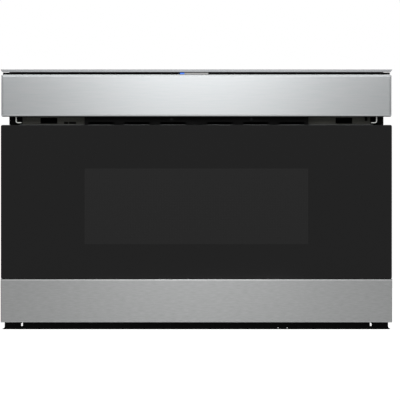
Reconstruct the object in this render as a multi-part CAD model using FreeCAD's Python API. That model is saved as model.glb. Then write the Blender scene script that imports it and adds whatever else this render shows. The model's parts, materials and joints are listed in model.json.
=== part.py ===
import FreeCAD
import Part
import math
import os

# Built-in microwave drawer. Millimetres, +Z up, +X to the right, the front faces -Y.
# Origin: middle of the box's bottom face.

# ---- heights of the front, from the floor of the cut-out up ----
base_height = 10.2           # black base trim and the skids
base_gap = 0.5               # running gap under the drawer front
strip_height = 67.5          # stainless strip at the foot of the drawer front
glass_height = 238.3         # black glass
vent_gap = 12.8              # dark gap between the glass and the control bar
bar_height = 65.2            # stainless bar of the control panel
touch_glass_thickness = 3.2
lip_gap = 0.6                # between the touch glass and the top trim
top_trim_height = 4.1

# ---- widths and depths ----
side_bay = 58.0              # cavity's inside to the outside of the case, at each side
flange_reach = 12.4          # mounting flange past the case, at each side
front_overlap = 12.8         # front past the mounting flange, at each end
end_inset = 0.5              # door glass is this much shorter at each end
bar_inset = 1.2              # control bar is this much shorter at each end
touch_glass_inset = 3.8      # touch glass is this much shorter at each end
case_drop = 23.5             # top of the case below the top of the bar
flange_setback = 66.0        # front of the glass to the cabinet's face
rear_bay_depth = 181.2       # back of the cavity to the outside of the rear panel
gland_reach = 12.0           # cord gland behind the rear panel

# ---- sheet and wall thicknesses ----
case_sheet = 0.8
frame_sheet = 1.2
trim_sheet = 1.2
cavity_sheet = 0.8
housing_wall = 2.5
rear_sheet = 0.8

# ---- fits ----
running_gap = 0.05           # shaft in its bore, on the radius
seat_gap = 0.3               # pieces that pass or seat beside each other
screw_gap = 0.15             # screw in its hole, on the radius
opening_gap = 0.5            # round the pieces that pass through the front frame
overcut = 1.0                # cutting tools reach past the faces that they open

# ---- drawer front ----
drawer_front_depth = 40.5
glass_thickness = 4.0
choke_thickness = 2.5
door_web = 2.0
door_wall = 2.5
face_gap = 1.5               # choke cover to the front frame
strip_return = 18.0
edge_round = 1.5
glass_corner = 2.5
window_width = 346.0
window_height = 117.0
window_rise = 32.0           # window above the cavity floor
window_rim = 8.0
glass_edge = 0.4             # ground edge of the glass
cover_inset = 3.0            # choke cover inside the drawer front's outline
cover_round = 1.2
screen_thickness = 0.6
window_pane = 2.2

# ---- cavity, basket and tray ----
cavity_width = 440.0
cavity_height = 182.0
cavity_depth = 425.0
cavity_floor = 100.0         # cavity floor above the origin
basket_side_gap = 6.0
basket_floor_gap = 8.0
basket_rear_gap = 12.0
basket_brow = 9.0            # basket's rim above the window
basket_wall = 3.0
basket_corner = 21.0
basket_rim = 3.0
tray_ledge = 15.0
tray_gap = 1.0
tray_thickness = 5.0
drawer_travel = 380.0

# ---- telescopic slides ----
slide_length = 400.0
slide_height = 45.6
slide_depth = 12.7
slide_sheet = 1.2
slide_gap = 0.4
slide_lip = 3.6
slide_rise = 50.0            # slide's middle above the cavity floor
slide_front_gap = 1.3        # front of the fixed member behind the frame's face
arm_thickness = 2.0
arm_height = 24.0
arm_length = 62.0
arm_foot_width = 38.0
arm_foot_height = 40.0
arm_screw_share = 0.6        # screws this far across the foot

# ---- drawer drive ----
rack_offset = 170.0          # rack left of the middle
rack_width = 12.0
rack_body = 6.0
rack_drop = 3.2              # rack's back below the cavity
rack_spare = 14.0            # rack past the pinion when the drawer is out
drive_module = 1.5
drive_teeth = 16
drive_setback = 33.0         # pinion behind the frame's face
drive_backlash = 0.15
drive_shaft_radius = 4.0
gearbox_width = 54.0
gearbox_length = 56.0
gearbox_height = 44.0
gearbox_setback = 6.0        # its middle behind the pinion
gearbox_round = 4.0
gearbox_bore_depth = 18.0
gearbox_gap = 1.0            # gearbox to the pinion
drive_motor_radius = 18.0
drive_motor_length = 52.0
drive_leg = 3.0
drive_foot = 2.0
drive_foot_length = 36.0

# ---- control panel and its tilt ----
pivot_setback = 21.0         # tilt axis behind the front face
pivot_rise = 14.0            # tilt axis above the bottom of the bar
bar_return = 12.5
bar_corner = 2.4
bar_bevel = 3.2              # width of the bevel round the bar's front
bar_bevel_depth = 0.7
touch_glass_depth = 46.5
touch_glass_fall = 3.5       # rear edge of the touch glass lower than its front edge
touch_glass_setback = 0.5
glass_notch_gap = 2.0        # touch glass's rear corners clear of the end columns
housing_side_gap = 23.0      # housing to the end column
housing_belly = 16.0         # housing behind the tilt axis
housing_chin = 4.0           # chamfer at the foot of the belly
housing_chin_rise = 7.0
housing_waist = 12.0         # top of the belly above the tilt axis
housing_shoulder = 11.2      # foot of the upright back below the top of the bar
boss_length = 4.0
boss_root = 6.0
boss_radius = 8.0
pin_radius = 3.0
pin_overhang = 5.0           # pin past the end column's inner face
clip_reach = 1.6
clip_thickness = 1.0
display_width = 37.0
display_depth = 3.0
display_low = 0.4            # window above the bottom of the touch glass
display_high = 0.35          # window below its top
display_proud = 0.2
display_gap = 0.1
light_width = 7.0
light_offset = 22.0
tilt_module = 1.0
tilt_teeth = 16
sector_teeth = 48
sector_thickness = 4.0
sector_low = 58.0            # degrees below the pinion's direction
sector_high = 12.0           # degrees above it
tilt_backlash = 0.12
tilt_shaft_radius = 2.5
tilt_shaft_length = 10.0
tilt_motor_width = 34.0
tilt_motor_size = 28.0
tilt_motor_gap = 1.6         # motor to the sector
tilt_motor_shift = 4.0       # motor's middle behind its shaft
tilt_motor_round = 2.0
tilt_pinion_spare = 1.0      # pinion wider than the sector, at each side

# ---- header, brackets, grille and rails ----
header_sheet = 1.2
column_width = 9.9           # black end columns beside the brackets
column_setback = 29.0
bracket_thickness = 1.4
bracket_foot = 9.0
bracket_drop = 23.6          # bracket's foot below the tilt axis
bracket_radius = 9.0
bracket_clear = 6.5          # bracket's leg behind the tilt axis
bracket_top = 12.0           # bracket's leg above the tilt axis
bracket_bend = 3.0           # outside radius where the foot turns in
grille_width = 347.0
grille_setback = 31.5
grille_height = 10.2
grille_sheet = 1.5
grille_slot_width = 39.0
grille_slot_height = 3.6
grille_slot_rise = 0.6
grille_slots_each_side = 3
grille_middle = 34.0         # plain stretch in the middle of the grille
grille_end = 6.0             # plain stretch at each end
grille_shelf_rim = 8.0
grille_ridge_rise = 4.8
grille_ridge = 1.6
grille_ridge_depth = 1.2
grille_screw_rise = 8.7
grille_screws = (-38.5, 85.5)
rail_setback = 52.0
rail_height = 11.7
rail_bracket_gap = 10.0      # rail's end to the end column
rail_hole_end = 28.0         # hole to the rail's outer end
rail_hole_width = 26.0
rail_hole_foot = 1.9         # foot of the hole above the foot of the rail
rail_hole_margin = 0.9
rail_lip = 8.0               # rail's lower lip ahead of its face
rail_lip_height = 1.8
rail_lip_round = 0.45        # share of the lip's height
rail_notch_end = 64.5        # left rail's notches from its outer end
rail_notch_widths = (6.4, 10.8)
rail_notch_post = 1.4        # between the notches
rail_notch_height = 4.6
trim_end_bevel = 2.6         # slanted ends of the top trim
trim_round = 0.8

# ---- base trim ----
base_trim_setback = 4.5
base_trim_inset = 6.2        # at each end
base_lip_reach = 3.5
base_lip_height = 1.2
base_slit_inset = 33.2       # slit inside the front's end
base_slit_width = 2.5
base_slit_height = 5.0
base_dimple_pitch = 112.0
base_dimple_length = 13.0
base_dimple_height = 3.4
base_dimple_depth = 0.7
base_dimple_rise = 6.0
base_dimples = 4
base_drain_radius = 0.7
base_drain_rise = 2.2
base_drains = (126.5, 140.5)
skid_width = 20.0
skid_wall = 2.5
skid_inset = 32.0            # skid's middle inside the case's side
skid_setback = 10.0
skid_rear_gap = 23.0

# ---- case ----
case_seat = 0.4              # case's front edge in the flange's rebate
frame_case_gap = 3.0         # front frame inside the case's side
frame_vents = 9
frame_vent_pitch = 40.0
frame_vent_width = 28.0
frame_vent_rim = 4.0
case_lip = 11.0
case_vent_rows = 3
case_vents = 9
case_vent_pitch = 13.0
case_vent_width = 5.0
case_vent_height = 26.0
case_vent_row_pitch = 34.0
case_vent_rear = 150.0       # first vent ahead of the rear panel
case_vent_drop = 34.0        # top row below the top of the case
rear_vents = 14
rear_vent_pitch = 30.0
rear_vent_width = 20.0
rear_vent_height = 5.0
rear_vent_drop = 41.0
rear_vent_row_pitch = 14.0
guard_rings = 3
guard_ring_step = 12.0
guard_first_ring = 14.0
guard_hole_radius = 3.4
pan_flange = 14.0
pan_vents = 8
pan_vent_pitch = 24.0
pan_vent_width = 6.0
pan_vent_inner = 90.0
pan_vent_length = 60.0
pan_vent_lead = 80.0         # first vent ahead of the cavity's middle
post_rack_gap = 14.0         # cavity's posts to the rack
post_width = 24.0
post_depth = 30.0
post_sheet = 1.5
post_front_gap = 62.5
post_rear_gap = 47.5

# ---- microwave parts ----
waveguide_width = 84.0
waveguide_height = 30.0
waveguide_sheet = 1.0
sump_radius = 80.0
sump_ledge = 6.0
sump_depth = 18.0
cover_thickness = 3.0
antenna_radius = 60.0
antenna_sheet = 1.5
antenna_rise = 8.0           # antenna above the sump floor
antenna_shaft_radius = 4.0
antenna_shaft_reach = 14.0   # shaft into the motor
antenna_shaft_clear = 1.0
antenna_holes = 5
antenna_hole_circle = 34.0
antenna_hole_radius = 9.0
antenna_hole_step = 2.0
launch_radius = 14.0
antenna_motor_radius = 25.0
antenna_motor_height = 22.0
antenna_motor_ear = 8.0
antenna_motor_plate = 1.2
magnetron_width = 80.0
magnetron_height = 96.0
magnetron_setback = 60.0     # its middle behind the cavity
magnetron_fins = 7
magnetron_fin = 1.0
magnetron_fin_pitch = 9.0
magnetron_fin_low = 20.0
magnetron_fin_inset = 6.0
magnetron_sheet = 3.0
magnetron_core_radius = 20.0
magnetron_box_width = 28.0
magnetron_box_depth = 24.0
magnetron_box_height = 14.0
dome_radius = 12.0
dome_length = 20.0
transformer_width = 96.0
transformer_depth = 110.0
transformer_height = 80.0
transformer_limb = 30.0
transformer_window = 22.0
transformer_yoke = 18.0
coil_overhang = 20.0
coil_corner = 12.0
coil_gap = 1.0
transformer_inset = 83.0     # its middle inside the case's side
capacitor_length = 90.0
capacitor_width = 52.0
capacitor_height = 64.0
capacitor_inset = 98.0
capacitor_flat = 1.0         # half the flat at each end of the can
capacitor_strap = 2.0
capacitor_strap_width = 16.0
capacitor_ear = 12.0
terminal_spacing = 36.0
terminal_radius = 5.0
terminal_base = 5.0
tab_width = 6.0
tab_thickness = 0.8
tab_length = 7.0
rear_bay_setback = 95.0      # middle of the transformer and capacitor behind the cavity
board_width = 200.0
board_length = 130.0
board_thickness = 1.6
board_post = 10.0
board_post_radius = 3.5
board_post_inset = 8.0
relays = 4
relay_width = 18.0
relay_length = 28.0
relay_height = 16.0
relay_pitch = 26.0
relay_side = 20.0            # first relay from the board's left edge
relay_front = 14.0           # relays from the board's front edge
filters = 3
filter_radius = 9.0
filter_height = 24.0
filter_pitch = 28.0
filter_side = 32.0
filter_front = 80.0
choke_coil_size = 44.0
choke_coil_height = 34.0
choke_coil_side = 16.0       # from the board's right edge
choke_coil_front = 60.0
connector_length = 50.0
connector_width = 10.0
connector_height = 11.0
connector_side = 14.0
connector_front = 16.0
lamp_radius = 11.0
lamp_length = 30.0
lamp_rear_gap = 70.0
lamp_top_gap = 40.0
lamp_rows = 5
lamp_hole_pitch = 4.5
lamp_hole_radius = 1.3
lamp_plate = 1.5
lamp_plate_length = 40.0
lamp_plate_height = 30.0
lamp_wall = 2.0
lamp_hood = 6.0              # hood past the bulb
lamp_cap = 12.0
lamp_glass = 16.0
lamp_round = 5.0
cutout_radius = 8.0
cutout_height = 7.0
cutout_plate = 1.0
cutout_ear = 6.0
cutout_plate_width = 10.0
cutout_offset = 150.0
cutout_setback = 60.0        # left cut-out behind the cavity's middle

# ---- cooling fan ----
fan_height = 150.0
fan_housing_width = 116.0
fan_housing_depth = 55.7
fan_wall = 2.0
fan_opening_radius = 50.0
fan_radius = 47.5
fan_hub_radius = 12.0
fan_blades = 5
fan_blade_depth = 14.0
fan_blade = 1.6
fan_blade_angle = 42.0
fan_shaft_radius = 3.0
fan_shaft_reach = 16.0
fan_motor_gap = 3.0
fan_motor_size = 50.0
fan_motor_depth = 20.0
fan_post_radius = 3.0
fan_post_inset = 5.0
fan_coil_width = 24.0
fan_coil_height = 16.0
fan_coil_proud = 5.0
fan_core_window = 30.0

# ---- interlocks ----
switch_case_gap = 22.0       # switches inside the case's side
switch_rises = (115.0, 160.0)    # above the cavity floor
hook_width = 6.0
hook_height = 10.0
hook_reach = 24.5
plunger_radius = 1.6
plunger_reach = 3.7
plunger_stroke = 1.2
plunger_round = 0.4
switch_length = 28.0
switch_width = 10.4
switch_depth = 16.0
switch_bore_depth = 7.0
switch_pin_spacing = 18.0
bracket_sheet = 1.5
bracket_foot_width = 10.0
bracket_margin = 6.0
bracket_rear_margin = 4.0

# ---- mounting and fasteners ----
mount_hole_radius = 2.5
mount_hole_inset = 4.7       # from the flange's edge
mount_hole_low = 60.0
mount_hole_rise = 42.7       # upper holes above the foot of the header
driver_hole_radius = 4.2
driver_hole_shift = 0.6
gland_inset = 38.0           # from the case's side
gland_rise = 40.0
gland_bore_radius = 5.0
gland_nose_radius = 9.0
gland_nose_taper = 2.5
gland_flange_radius = 14.0
gland_flange = 3.0
gland_barrel = 12.0
gland_nut = 5.0
gland_nut_radius = 13.0
screw_radius = 2.0
screw_head_radius = 4.0
screw_head = 1.8
screw_recess = 0.8
screw_recess_width = 1.0
screw_recess_length = 5.6
case_screw_length = 6.0
case_screw_inset = 6.0
case_screw_low = 20.0
door_screw_head = 0.4
door_screw_bite = 1.0
grille_screw_radius = 2.1
grille_screw_head = 0.9

# ---- places worked out from the sizes above ----
strip_bottom = base_height + base_gap
strip_top = strip_bottom + strip_height
glass_top = strip_top + glass_height
bar_bottom = glass_top + vent_gap
bar_top = bar_bottom + bar_height
lip_bottom = bar_top + touch_glass_thickness + lip_gap
front_height = lip_bottom + top_trim_height
body_depth = drawer_front_depth + face_gap + cavity_depth + cavity_sheet + rear_bay_depth
overall_depth = body_depth + gland_reach

half_cavity = cavity_width / 2
half_case = half_cavity + side_bay
half_flange = half_case + flange_reach
half_front = half_flange + front_overlap
half_glass = half_front - end_inset
half_bar = half_front - bar_inset
front = -overall_depth / 2
flange_back = front + flange_setback
flange_front = flange_back - frame_sheet
rear = front + body_depth
case_top = bar_top - case_drop
case_front = flange_back - case_seat

choke_back = front + drawer_front_depth
choke_front = choke_back - choke_thickness
web_front = choke_front - door_web
face = choke_back + face_gap
face_back = face + frame_sheet
frame_top = glass_top + base_gap + seat_gap
half_pan = half_case - frame_case_gap
door_half = half_front - trim_sheet

half_window = window_width / 2
window_low = cavity_floor + window_rise
window_high = window_low + window_height

cavity_top = cavity_floor + cavity_height
cavity_rear = face + cavity_depth
cavity_side = half_cavity + cavity_sheet
cavity_middle = (face + cavity_rear) / 2
basket_half = half_cavity - basket_side_gap
basket_bottom = cavity_floor + basket_floor_gap
basket_top = window_high + basket_brow
basket_rear = cavity_rear - basket_rear_gap

slide_middle_height = cavity_floor + slide_rise
slide_step = slide_sheet + slide_gap
arm_side = cavity_side + 2 * slide_step + slide_sheet
slide_front = face_back + slide_front_gap
slide_rear = slide_front + slide_length

drive_radius = drive_module * drive_teeth / 2
rack_top = cavity_floor - cavity_sheet - rack_drop
rack_pitch_line = rack_top - rack_body - 1.25 * drive_module
drive_height = rack_pitch_line - drive_radius
drive_depth = face + drive_setback
rack_end = drive_depth + drawer_travel + rack_spare

pivot_depth = front + pivot_setback
pivot_height = bar_bottom + pivot_rise
bracket_outer = half_flange - column_width
half_housing = bracket_outer - housing_side_gap
sector_radius = tilt_module * sector_teeth / 2
tilt_radius = tilt_module * tilt_teeth / 2
tilt_depth = pivot_depth + sector_radius + tilt_radius
sector_side = half_housing + boss_length
half_touch_glass = half_front - touch_glass_inset
touch_glass_front = front + touch_glass_setback

half_grille = grille_width / 2
rail_inner = half_grille + opening_gap
rail_outer = bracket_outer - rail_bracket_gap
first_slot = (grille_middle + grille_slot_width) / 2
last_slot = half_grille - grille_end - grille_slot_width / 2
mount_hole_offset = half_flange - mount_hole_inset
mount_hole_high = frame_top + mount_hole_rise
rear_bay = cavity_rear + cavity_sheet + rear_bay_setback
sump_floor = cavity_floor - sump_depth
waveguide_top = sump_floor - cavity_sheet
waveguide_bottom = waveguide_top - waveguide_height
magnetron_middle = cavity_rear + cavity_sheet + magnetron_setback
pan_top = base_height + frame_sheet
fan_front = rear - rear_sheet - fan_housing_depth
fan_wheel_rear = fan_front + fan_wall + fan_blade_depth
switch_offset = half_case - switch_case_gap
transformer_offset = half_case - transformer_inset
capacitor_offset = half_case - capacitor_inset
gland_offset = half_case - gland_inset
post_inner = rack_offset + rack_width / 2 + post_rack_gap
plunger_front = choke_front + hook_reach + seat_gap
switch_front = plunger_front + plunger_reach
lamp_depth = cavity_rear - lamp_rear_gap
lamp_rise = cavity_top - lamp_top_gap
lamp_end = cavity_side + lamp_length + lamp_hood


# ---- small helpers ----
def point(x, y, z):
    return FreeCAD.Vector(x, y, z)


def block(x0, x1, y0, y1, z0, z1):
    return Part.makeBox(x1 - x0, y1 - y0, z1 - z0, point(x0, y0, z0))


def rod(radius, length, start, direction):
    return Part.makeCylinder(radius, length, start, direction)


def rod_x(radius, x0, x1, y, z):
    return rod(radius, x1 - x0, point(x0, y, z), point(1, 0, 0))


def rod_y(radius, y0, y1, x, z):
    return rod(radius, y1 - y0, point(x, y0, z), point(0, 1, 0))


def rod_z(radius, z0, z1, x, y):
    return rod(radius, z1 - z0, point(x, y, z0), point(0, 0, 1))


def prism_x(outline, x0, x1):
    # outline: (y, z) corners, pushed along X
    wire = Part.makePolygon([point(x0, y, z) for y, z in outline + outline[:1]])
    return Part.Face(wire).extrude(point(x1 - x0, 0, 0))


def prism_y(outline, y0, y1):
    # outline: (x, z) corners, pushed along Y
    wire = Part.makePolygon([point(x, y0, z) for x, z in outline + outline[:1]])
    return Part.Face(wire).extrude(point(0, y1 - y0, 0))


def join(pieces):
    return pieces[0].fuse(pieces[1:]).removeSplitter()


def cut(shape, tools):
    return shape.cut(tools)


def mirror_x(shape):
    return shape.mirror(point(0, 0, 0), point(1, 0, 0))


def both_sides(shape):
    return [shape, mirror_x(shape)]


def edges_at(shape, test):
    found = []
    for edge in shape.Edges:
        ends = [vertex.Point for vertex in edge.Vertexes]
        if len(ends) == 2 and test(ends[0], ends[1]):
            found.append(edge)
    return found


def near(a, b):
    return abs(a - b) < 0.001


def upright(a, b):
    return near(a.x, b.x) and near(a.y, b.y)


def along_y(a, b):
    return near(a.x, b.x) and near(a.z, b.z)


def rounded_block(x0, x1, y0, y1, z0, z1, radius):
    # block with its four upright edges rounded
    shape = block(x0, x1, y0, y1, z0, z1)
    return shape.makeFillet(radius, edges_at(shape, upright))


def rounded_outline(half, z0, z1, radius, y):
    # closed wire of a rectangle with round corners, standing at depth y
    quarter = math.pi / 2
    corners = [(half - radius, z0 + radius), (half - radius, z1 - radius),
               (-half + radius, z1 - radius), (-half + radius, z0 + radius)]
    arcs = []
    for index, (x, z) in enumerate(corners):
        start = (index - 1) * quarter
        arcs.append([point(x + radius * math.cos(turn), y, z + radius * math.sin(turn))
                     for turn in (start, start + quarter / 2, start + quarter)])
    edges = []
    for arc, following in zip(arcs, arcs[1:] + arcs[:1]):
        edges.append(Part.Arc(*arc).toShape())
        edges.append(Part.LineSegment(arc[-1], following[0]).toShape())
    return Part.Wire(edges)


def save(name, shapes):
    if not isinstance(shapes, list):
        shapes = [shapes]
    solids = [solid for shape in shapes for solid in shape.Solids]
    Part.makeCompound(solids).exportStep("parts/" + name + ".step")
    print(name, len(solids), round(sum(solid.Volume for solid in solids)))


def involute(base_radius, radius, start_angle, side):
    # point of an involute at the given radius, side +1 or -1
    roll = math.sqrt(max((radius / base_radius) ** 2 - 1, 0))
    angle = start_angle + side * (roll - math.atan(roll))
    return radius * math.cos(angle), radius * math.sin(angle)


def gear_face(module, teeth, backlash):
    # involute gear in the XY plane, 20 degree pressure angle, one tooth on +X
    pressure = math.radians(20)
    pitch_radius = module * teeth / 2
    base_radius = pitch_radius * math.cos(pressure)
    tip_radius = pitch_radius + 0.95 * module
    root_radius = pitch_radius - 1.25 * module
    start_radius = max(base_radius, root_radius)
    half_tooth = math.pi / (2 * teeth) - backlash / (2 * pitch_radius)
    offset = half_tooth + math.tan(pressure) - pressure
    edges = []
    last = None
    for index in range(teeth):
        middle = 2 * math.pi * index / teeth
        sides = []
        for side in (-1, 1):
            radii = (start_radius, (start_radius + tip_radius) / 2, tip_radius)
            flank = [involute(base_radius, r, middle + side * offset, -side) for r in radii]
            root_angle = math.atan2(flank[0][1], flank[0][0])
            root = (root_radius * math.cos(root_angle), root_radius * math.sin(root_angle))
            sides.append([point(x, y, 0) for x, y in [root] + flank])
        low, high = sides
        if last is None:
            first = low[0]
        else:
            edges.append(Part.LineSegment(last, low[0]))
        if root_radius < start_radius:
            edges.append(Part.LineSegment(low[0], low[1]))
        edges.append(Part.Arc(low[1], low[2], low[3]))
        tip = point(tip_radius * math.cos(middle), tip_radius * math.sin(middle), 0)
        edges.append(Part.Arc(low[3], tip, high[3]))
        edges.append(Part.Arc(high[3], high[2], high[1]))
        if root_radius < start_radius:
            edges.append(Part.LineSegment(high[1], high[0]))
        last = high[0] if root_radius < start_radius else high[1]
    edges.append(Part.LineSegment(last, first))
    return Part.Face(Part.Wire([edge.toShape() for edge in edges]))


def gear_x(module, teeth, backlash, x0, x1, y, z, turn):
    # gear on an axis along X, its first tooth turned from +Y towards +Z
    shape = gear_face(module, teeth, backlash).extrude(point(0, 0, x1 - x0))
    shape.rotate(point(0, 0, 0), point(0, 0, 1), turn)
    shape.rotate(point(0, 0, 0), point(1, 1, 1), 120)
    shape.translate(point(x0, y, z))
    return shape


# ---- drawer front ----
def door_glass():
    shape = block(-half_glass, half_glass, front, front + glass_thickness, strip_top, glass_top)
    shape = shape.makeFillet(glass_corner, edges_at(shape, along_y))
    outline = edges_at(shape, lambda a, b: near(a.y, front) and near(b.y, front))
    return shape.makeChamfer(glass_edge, outline)


def door_trim():
    shape = block(-half_front, half_front, front, front + strip_return, strip_bottom, strip_top)
    shape = shape.makeFillet(edge_round, edges_at(shape, lambda a, b: near(a.y, front) and near(b.y, front)))
    inside = block(-door_half, door_half, front + trim_sheet, front + strip_return,
                   strip_bottom + trim_sheet, strip_top - trim_sheet)
    open_top = block(-door_half, door_half, front + glass_thickness, front + strip_return,
                     strip_top - trim_sheet, strip_top)
    return cut(shape, [inside, open_top])


def window_block(grow, y0, y1):
    return block(-half_window - grow, half_window + grow, y0, y1, window_low - grow, window_high + grow)


def door_frame():
    low = strip_bottom + trim_sheet
    step = strip_top - trim_sheet
    glass_back = front + glass_thickness
    shell = block(-door_half, door_half, glass_back, choke_front, low, glass_top - end_inset)
    foot = block(-door_half, door_half, front + trim_sheet, glass_back, low, step)
    shape = shell.fuse(foot)
    shape = cut(shape, block(-door_half + door_wall, door_half - door_wall, front, web_front,
                             low + door_wall, glass_top - end_inset - door_wall))
    shelf = block(-door_half, door_half, glass_back, choke_front, step, strip_top + door_wall)
    tube = cut(window_block(window_rim + door_wall + face_gap, glass_back, choke_front),
               window_block(window_rim + face_gap, front, choke_front))
    shape = join([shape, shelf, tube])
    return cut(shape, window_block(0, front, choke_back))


def choke_cover():
    half = door_half - cover_inset / 2
    shape = block(-half, half, choke_front, choke_back, strip_bottom + cover_inset, glass_top - cover_inset)
    outline = edges_at(shape, lambda a, b: near(a.y, choke_back) and near(b.y, choke_back))
    shape = shape.makeFillet(cover_round, outline)
    tools = [window_block(window_rim, choke_front, choke_back)]
    foot = block(arm_side - seat_gap, arm_side + arm_foot_width + seat_gap, choke_front, choke_back,
                 slide_middle_height - arm_foot_height / 2 - seat_gap,
                 slide_middle_height + arm_foot_height / 2 + seat_gap)
    tools += both_sides(foot)
    tools.append(block(-rack_offset - rack_width / 2 - seat_gap, -rack_offset + rack_width / 2 + seat_gap,
                       choke_front, choke_back, rack_pitch_line - drive_module - seat_gap,
                       rack_top + seat_gap))
    for rise in switch_rises:
        tools.append(hook_block(rise, seat_gap, choke_front, choke_back))
    return cut(shape, tools)


def window_screen():
    return window_block(window_rim, web_front - screen_thickness, web_front)


def inner_window():
    return window_block(window_rim - seat_gap, choke_front, choke_front + window_pane)


def hook_block(rise, grow, y0, y1):
    middle = cavity_floor + rise
    return block(switch_offset - hook_width / 2 - grow, switch_offset + hook_width / 2 + grow, y0, y1,
                 middle - hook_height / 2 - grow, middle + hook_height / 2 + grow)


def switch_hooks():
    hooks = []
    for rise in switch_rises:
        hooks.append(hook_block(rise, 0, choke_front, choke_front + hook_reach))
    return hooks


def basket():
    outer = rounded_block(-basket_half, basket_half, choke_back, basket_rear,
                          basket_bottom, basket_top, basket_corner)
    rim = rounded_block(-basket_half - basket_rim, basket_half + basket_rim, choke_back + basket_corner / 2,
                        basket_rear + basket_rim, basket_top - basket_wall, basket_top,
                        basket_corner + basket_rim)
    inside = rounded_block(-basket_half + basket_wall, basket_half - basket_wall, choke_back + basket_wall,
                           basket_rear - basket_wall, basket_bottom + basket_wall, basket_top,
                           basket_corner - basket_wall)
    ledge = basket_wall + tray_ledge
    floor_hole = rounded_block(-basket_half + ledge, basket_half - ledge, choke_back + ledge,
                               basket_rear - ledge, basket_bottom, basket_top, basket_corner)
    view = window_block(0, choke_back, choke_back + basket_wall)
    return cut(join([outer, rim]), [inside, floor_hole, view])


def ceramic_tray():
    side = basket_wall + tray_gap
    floor = basket_bottom + basket_wall
    shape = rounded_block(-basket_half + side, basket_half - side, choke_back + side, basket_rear - side,
                          floor, floor + tray_thickness, basket_corner - side)
    return shape


def rack_tooth(y):
    # flat-sided tooth pointing down, its middle at y
    half = math.pi * drive_module / 4 - running_gap
    slope = math.tan(math.radians(20))
    root = rack_top - rack_body
    tip = rack_pitch_line - 0.95 * drive_module
    wide = half + (root - rack_pitch_line) * slope
    narrow = half - (rack_pitch_line - tip) * slope
    outline = [(y - wide, root + 0.5), (y - wide, root), (y - narrow, tip), (y + narrow, tip),
               (y + wide, root), (y + wide, root + 0.5)]
    return prism_x(outline, -rack_offset - rack_width / 2, -rack_offset + rack_width / 2)


def drive_rack():
    pitch = math.pi * drive_module
    body = block(-rack_offset - rack_width / 2, -rack_offset + rack_width / 2, choke_front, rack_end,
                 rack_top - rack_body, rack_top)
    first = math.ceil((choke_back + pitch - drive_depth) / pitch)
    last = math.floor((rack_end - pitch - drive_depth) / pitch)
    teeth = [rack_tooth(drive_depth + index * pitch) for index in range(first, last + 1)]
    return join([body] + teeth)


def door_arm():
    # right-hand arm: a foot on the drawer front and a strap on the inner slide member
    strap = block(arm_side, arm_side + arm_thickness, choke_front, choke_front + arm_length,
                  slide_middle_height - arm_height / 2, slide_middle_height + arm_height / 2)
    foot = block(arm_side, arm_side + arm_foot_width, choke_front, choke_front + arm_thickness,
                 slide_middle_height - arm_foot_height / 2, slide_middle_height + arm_foot_height / 2)
    return join([strap, foot])


def arm_screw_places():
    across = arm_side + arm_foot_width * arm_screw_share
    return [(across, slide_middle_height - arm_foot_height / 4),
            (across, slide_middle_height + arm_foot_height / 4)]


def door_screws():
    # heads on the arms' feet, shanks into the drawer front's frame
    screws = []
    face_of_foot = choke_front + arm_thickness
    for x, z in arm_screw_places():
        head = rod_y(screw_head_radius, face_of_foot, face_of_foot + door_screw_head, x, z)
        shank = rod_y(screw_radius, web_front - door_screw_bite, face_of_foot, x, z)
        screws += both_sides(join([head, shank]))
    return screws


def drill_door(shape, y0, y1):
    tools = []
    for x, z in arm_screw_places():
        tools += both_sides(rod_y(screw_radius + running_gap, y0, y1, x, z))
    return cut(shape, tools)


# ---- telescopic slides, right-hand side ----
def channel(x0, depth, height, lip, y0, y1):
    # C channel open to +X, its web at x0
    half = height / 2
    middle = slide_middle_height
    shape = block(x0, x0 + depth, y0, y1, middle - half, middle + half)
    inside = block(x0 + slide_sheet, x0 + depth - (slide_sheet if lip else 0), y0, y1,
                   middle - half + slide_sheet, middle + half - slide_sheet)
    tools = [inside]
    if lip:
        mouth = half - slide_sheet - lip
        tools.append(block(x0 + slide_sheet, x0 + depth, y0, y1, middle - mouth, middle + mouth))
    return cut(shape, tools)


def slide_outer():
    return channel(cavity_side, slide_depth, slide_height, slide_lip, slide_front, slide_rear)


def slide_middle():
    return channel(cavity_side + slide_step, slide_depth - 2 * slide_step, slide_height - 2 * slide_step,
                   slide_lip, slide_front, slide_rear)


def slide_inner():
    return channel(cavity_side + 2 * slide_step, slide_depth - 4 * slide_step, slide_height - 4 * slide_step,
                   0, slide_front, slide_rear)


# ---- control panel ----
def panel_bar():
    # pressed bar with a shallow bevel all round its front
    rim = rounded_outline(half_bar, bar_bottom, bar_top, bar_corner, front + bar_bevel_depth)
    field = rounded_outline(half_bar - bar_bevel, bar_bottom + bar_bevel, bar_top - bar_bevel,
                            bar_corner / 2, front)
    bevel = Part.makeLoft([rim, field], True, True)
    back = Part.Face(rim).extrude(point(0, bar_return - bar_bevel_depth, 0))
    shape = join([bevel, back])
    inside = block(-half_bar + trim_sheet, half_bar - trim_sheet, front + trim_sheet, front + bar_return,
                   bar_bottom + trim_sheet, bar_top)
    return cut(shape, [inside, glass_wedge()])


def glass_line(y):
    # underside of the touch glass at depth y
    return bar_top - (y - touch_glass_front) * touch_glass_fall / touch_glass_depth


def glass_wedge():
    # space above the line of the touch glass's underside
    end = front + 2 * touch_glass_depth
    outline = [(front, glass_line(front)), (end, glass_line(end)), (end, bar_top + overcut),
               (front, bar_top + overcut)]
    return prism_x(outline, -half_front, half_front)


def housing_outline(wall):
    low = bar_bottom + trim_sheet + wall
    y0 = front + trim_sheet + wall
    belly = pivot_depth + housing_belly - wall
    back = touch_glass_front + touch_glass_depth - wall
    return [(y0, low), (belly - housing_chin, low), (belly, low + housing_chin_rise),
            (belly, pivot_height + housing_waist), (back, bar_top - housing_shoulder), (back, bar_top),
            (y0, bar_top)]


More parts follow.
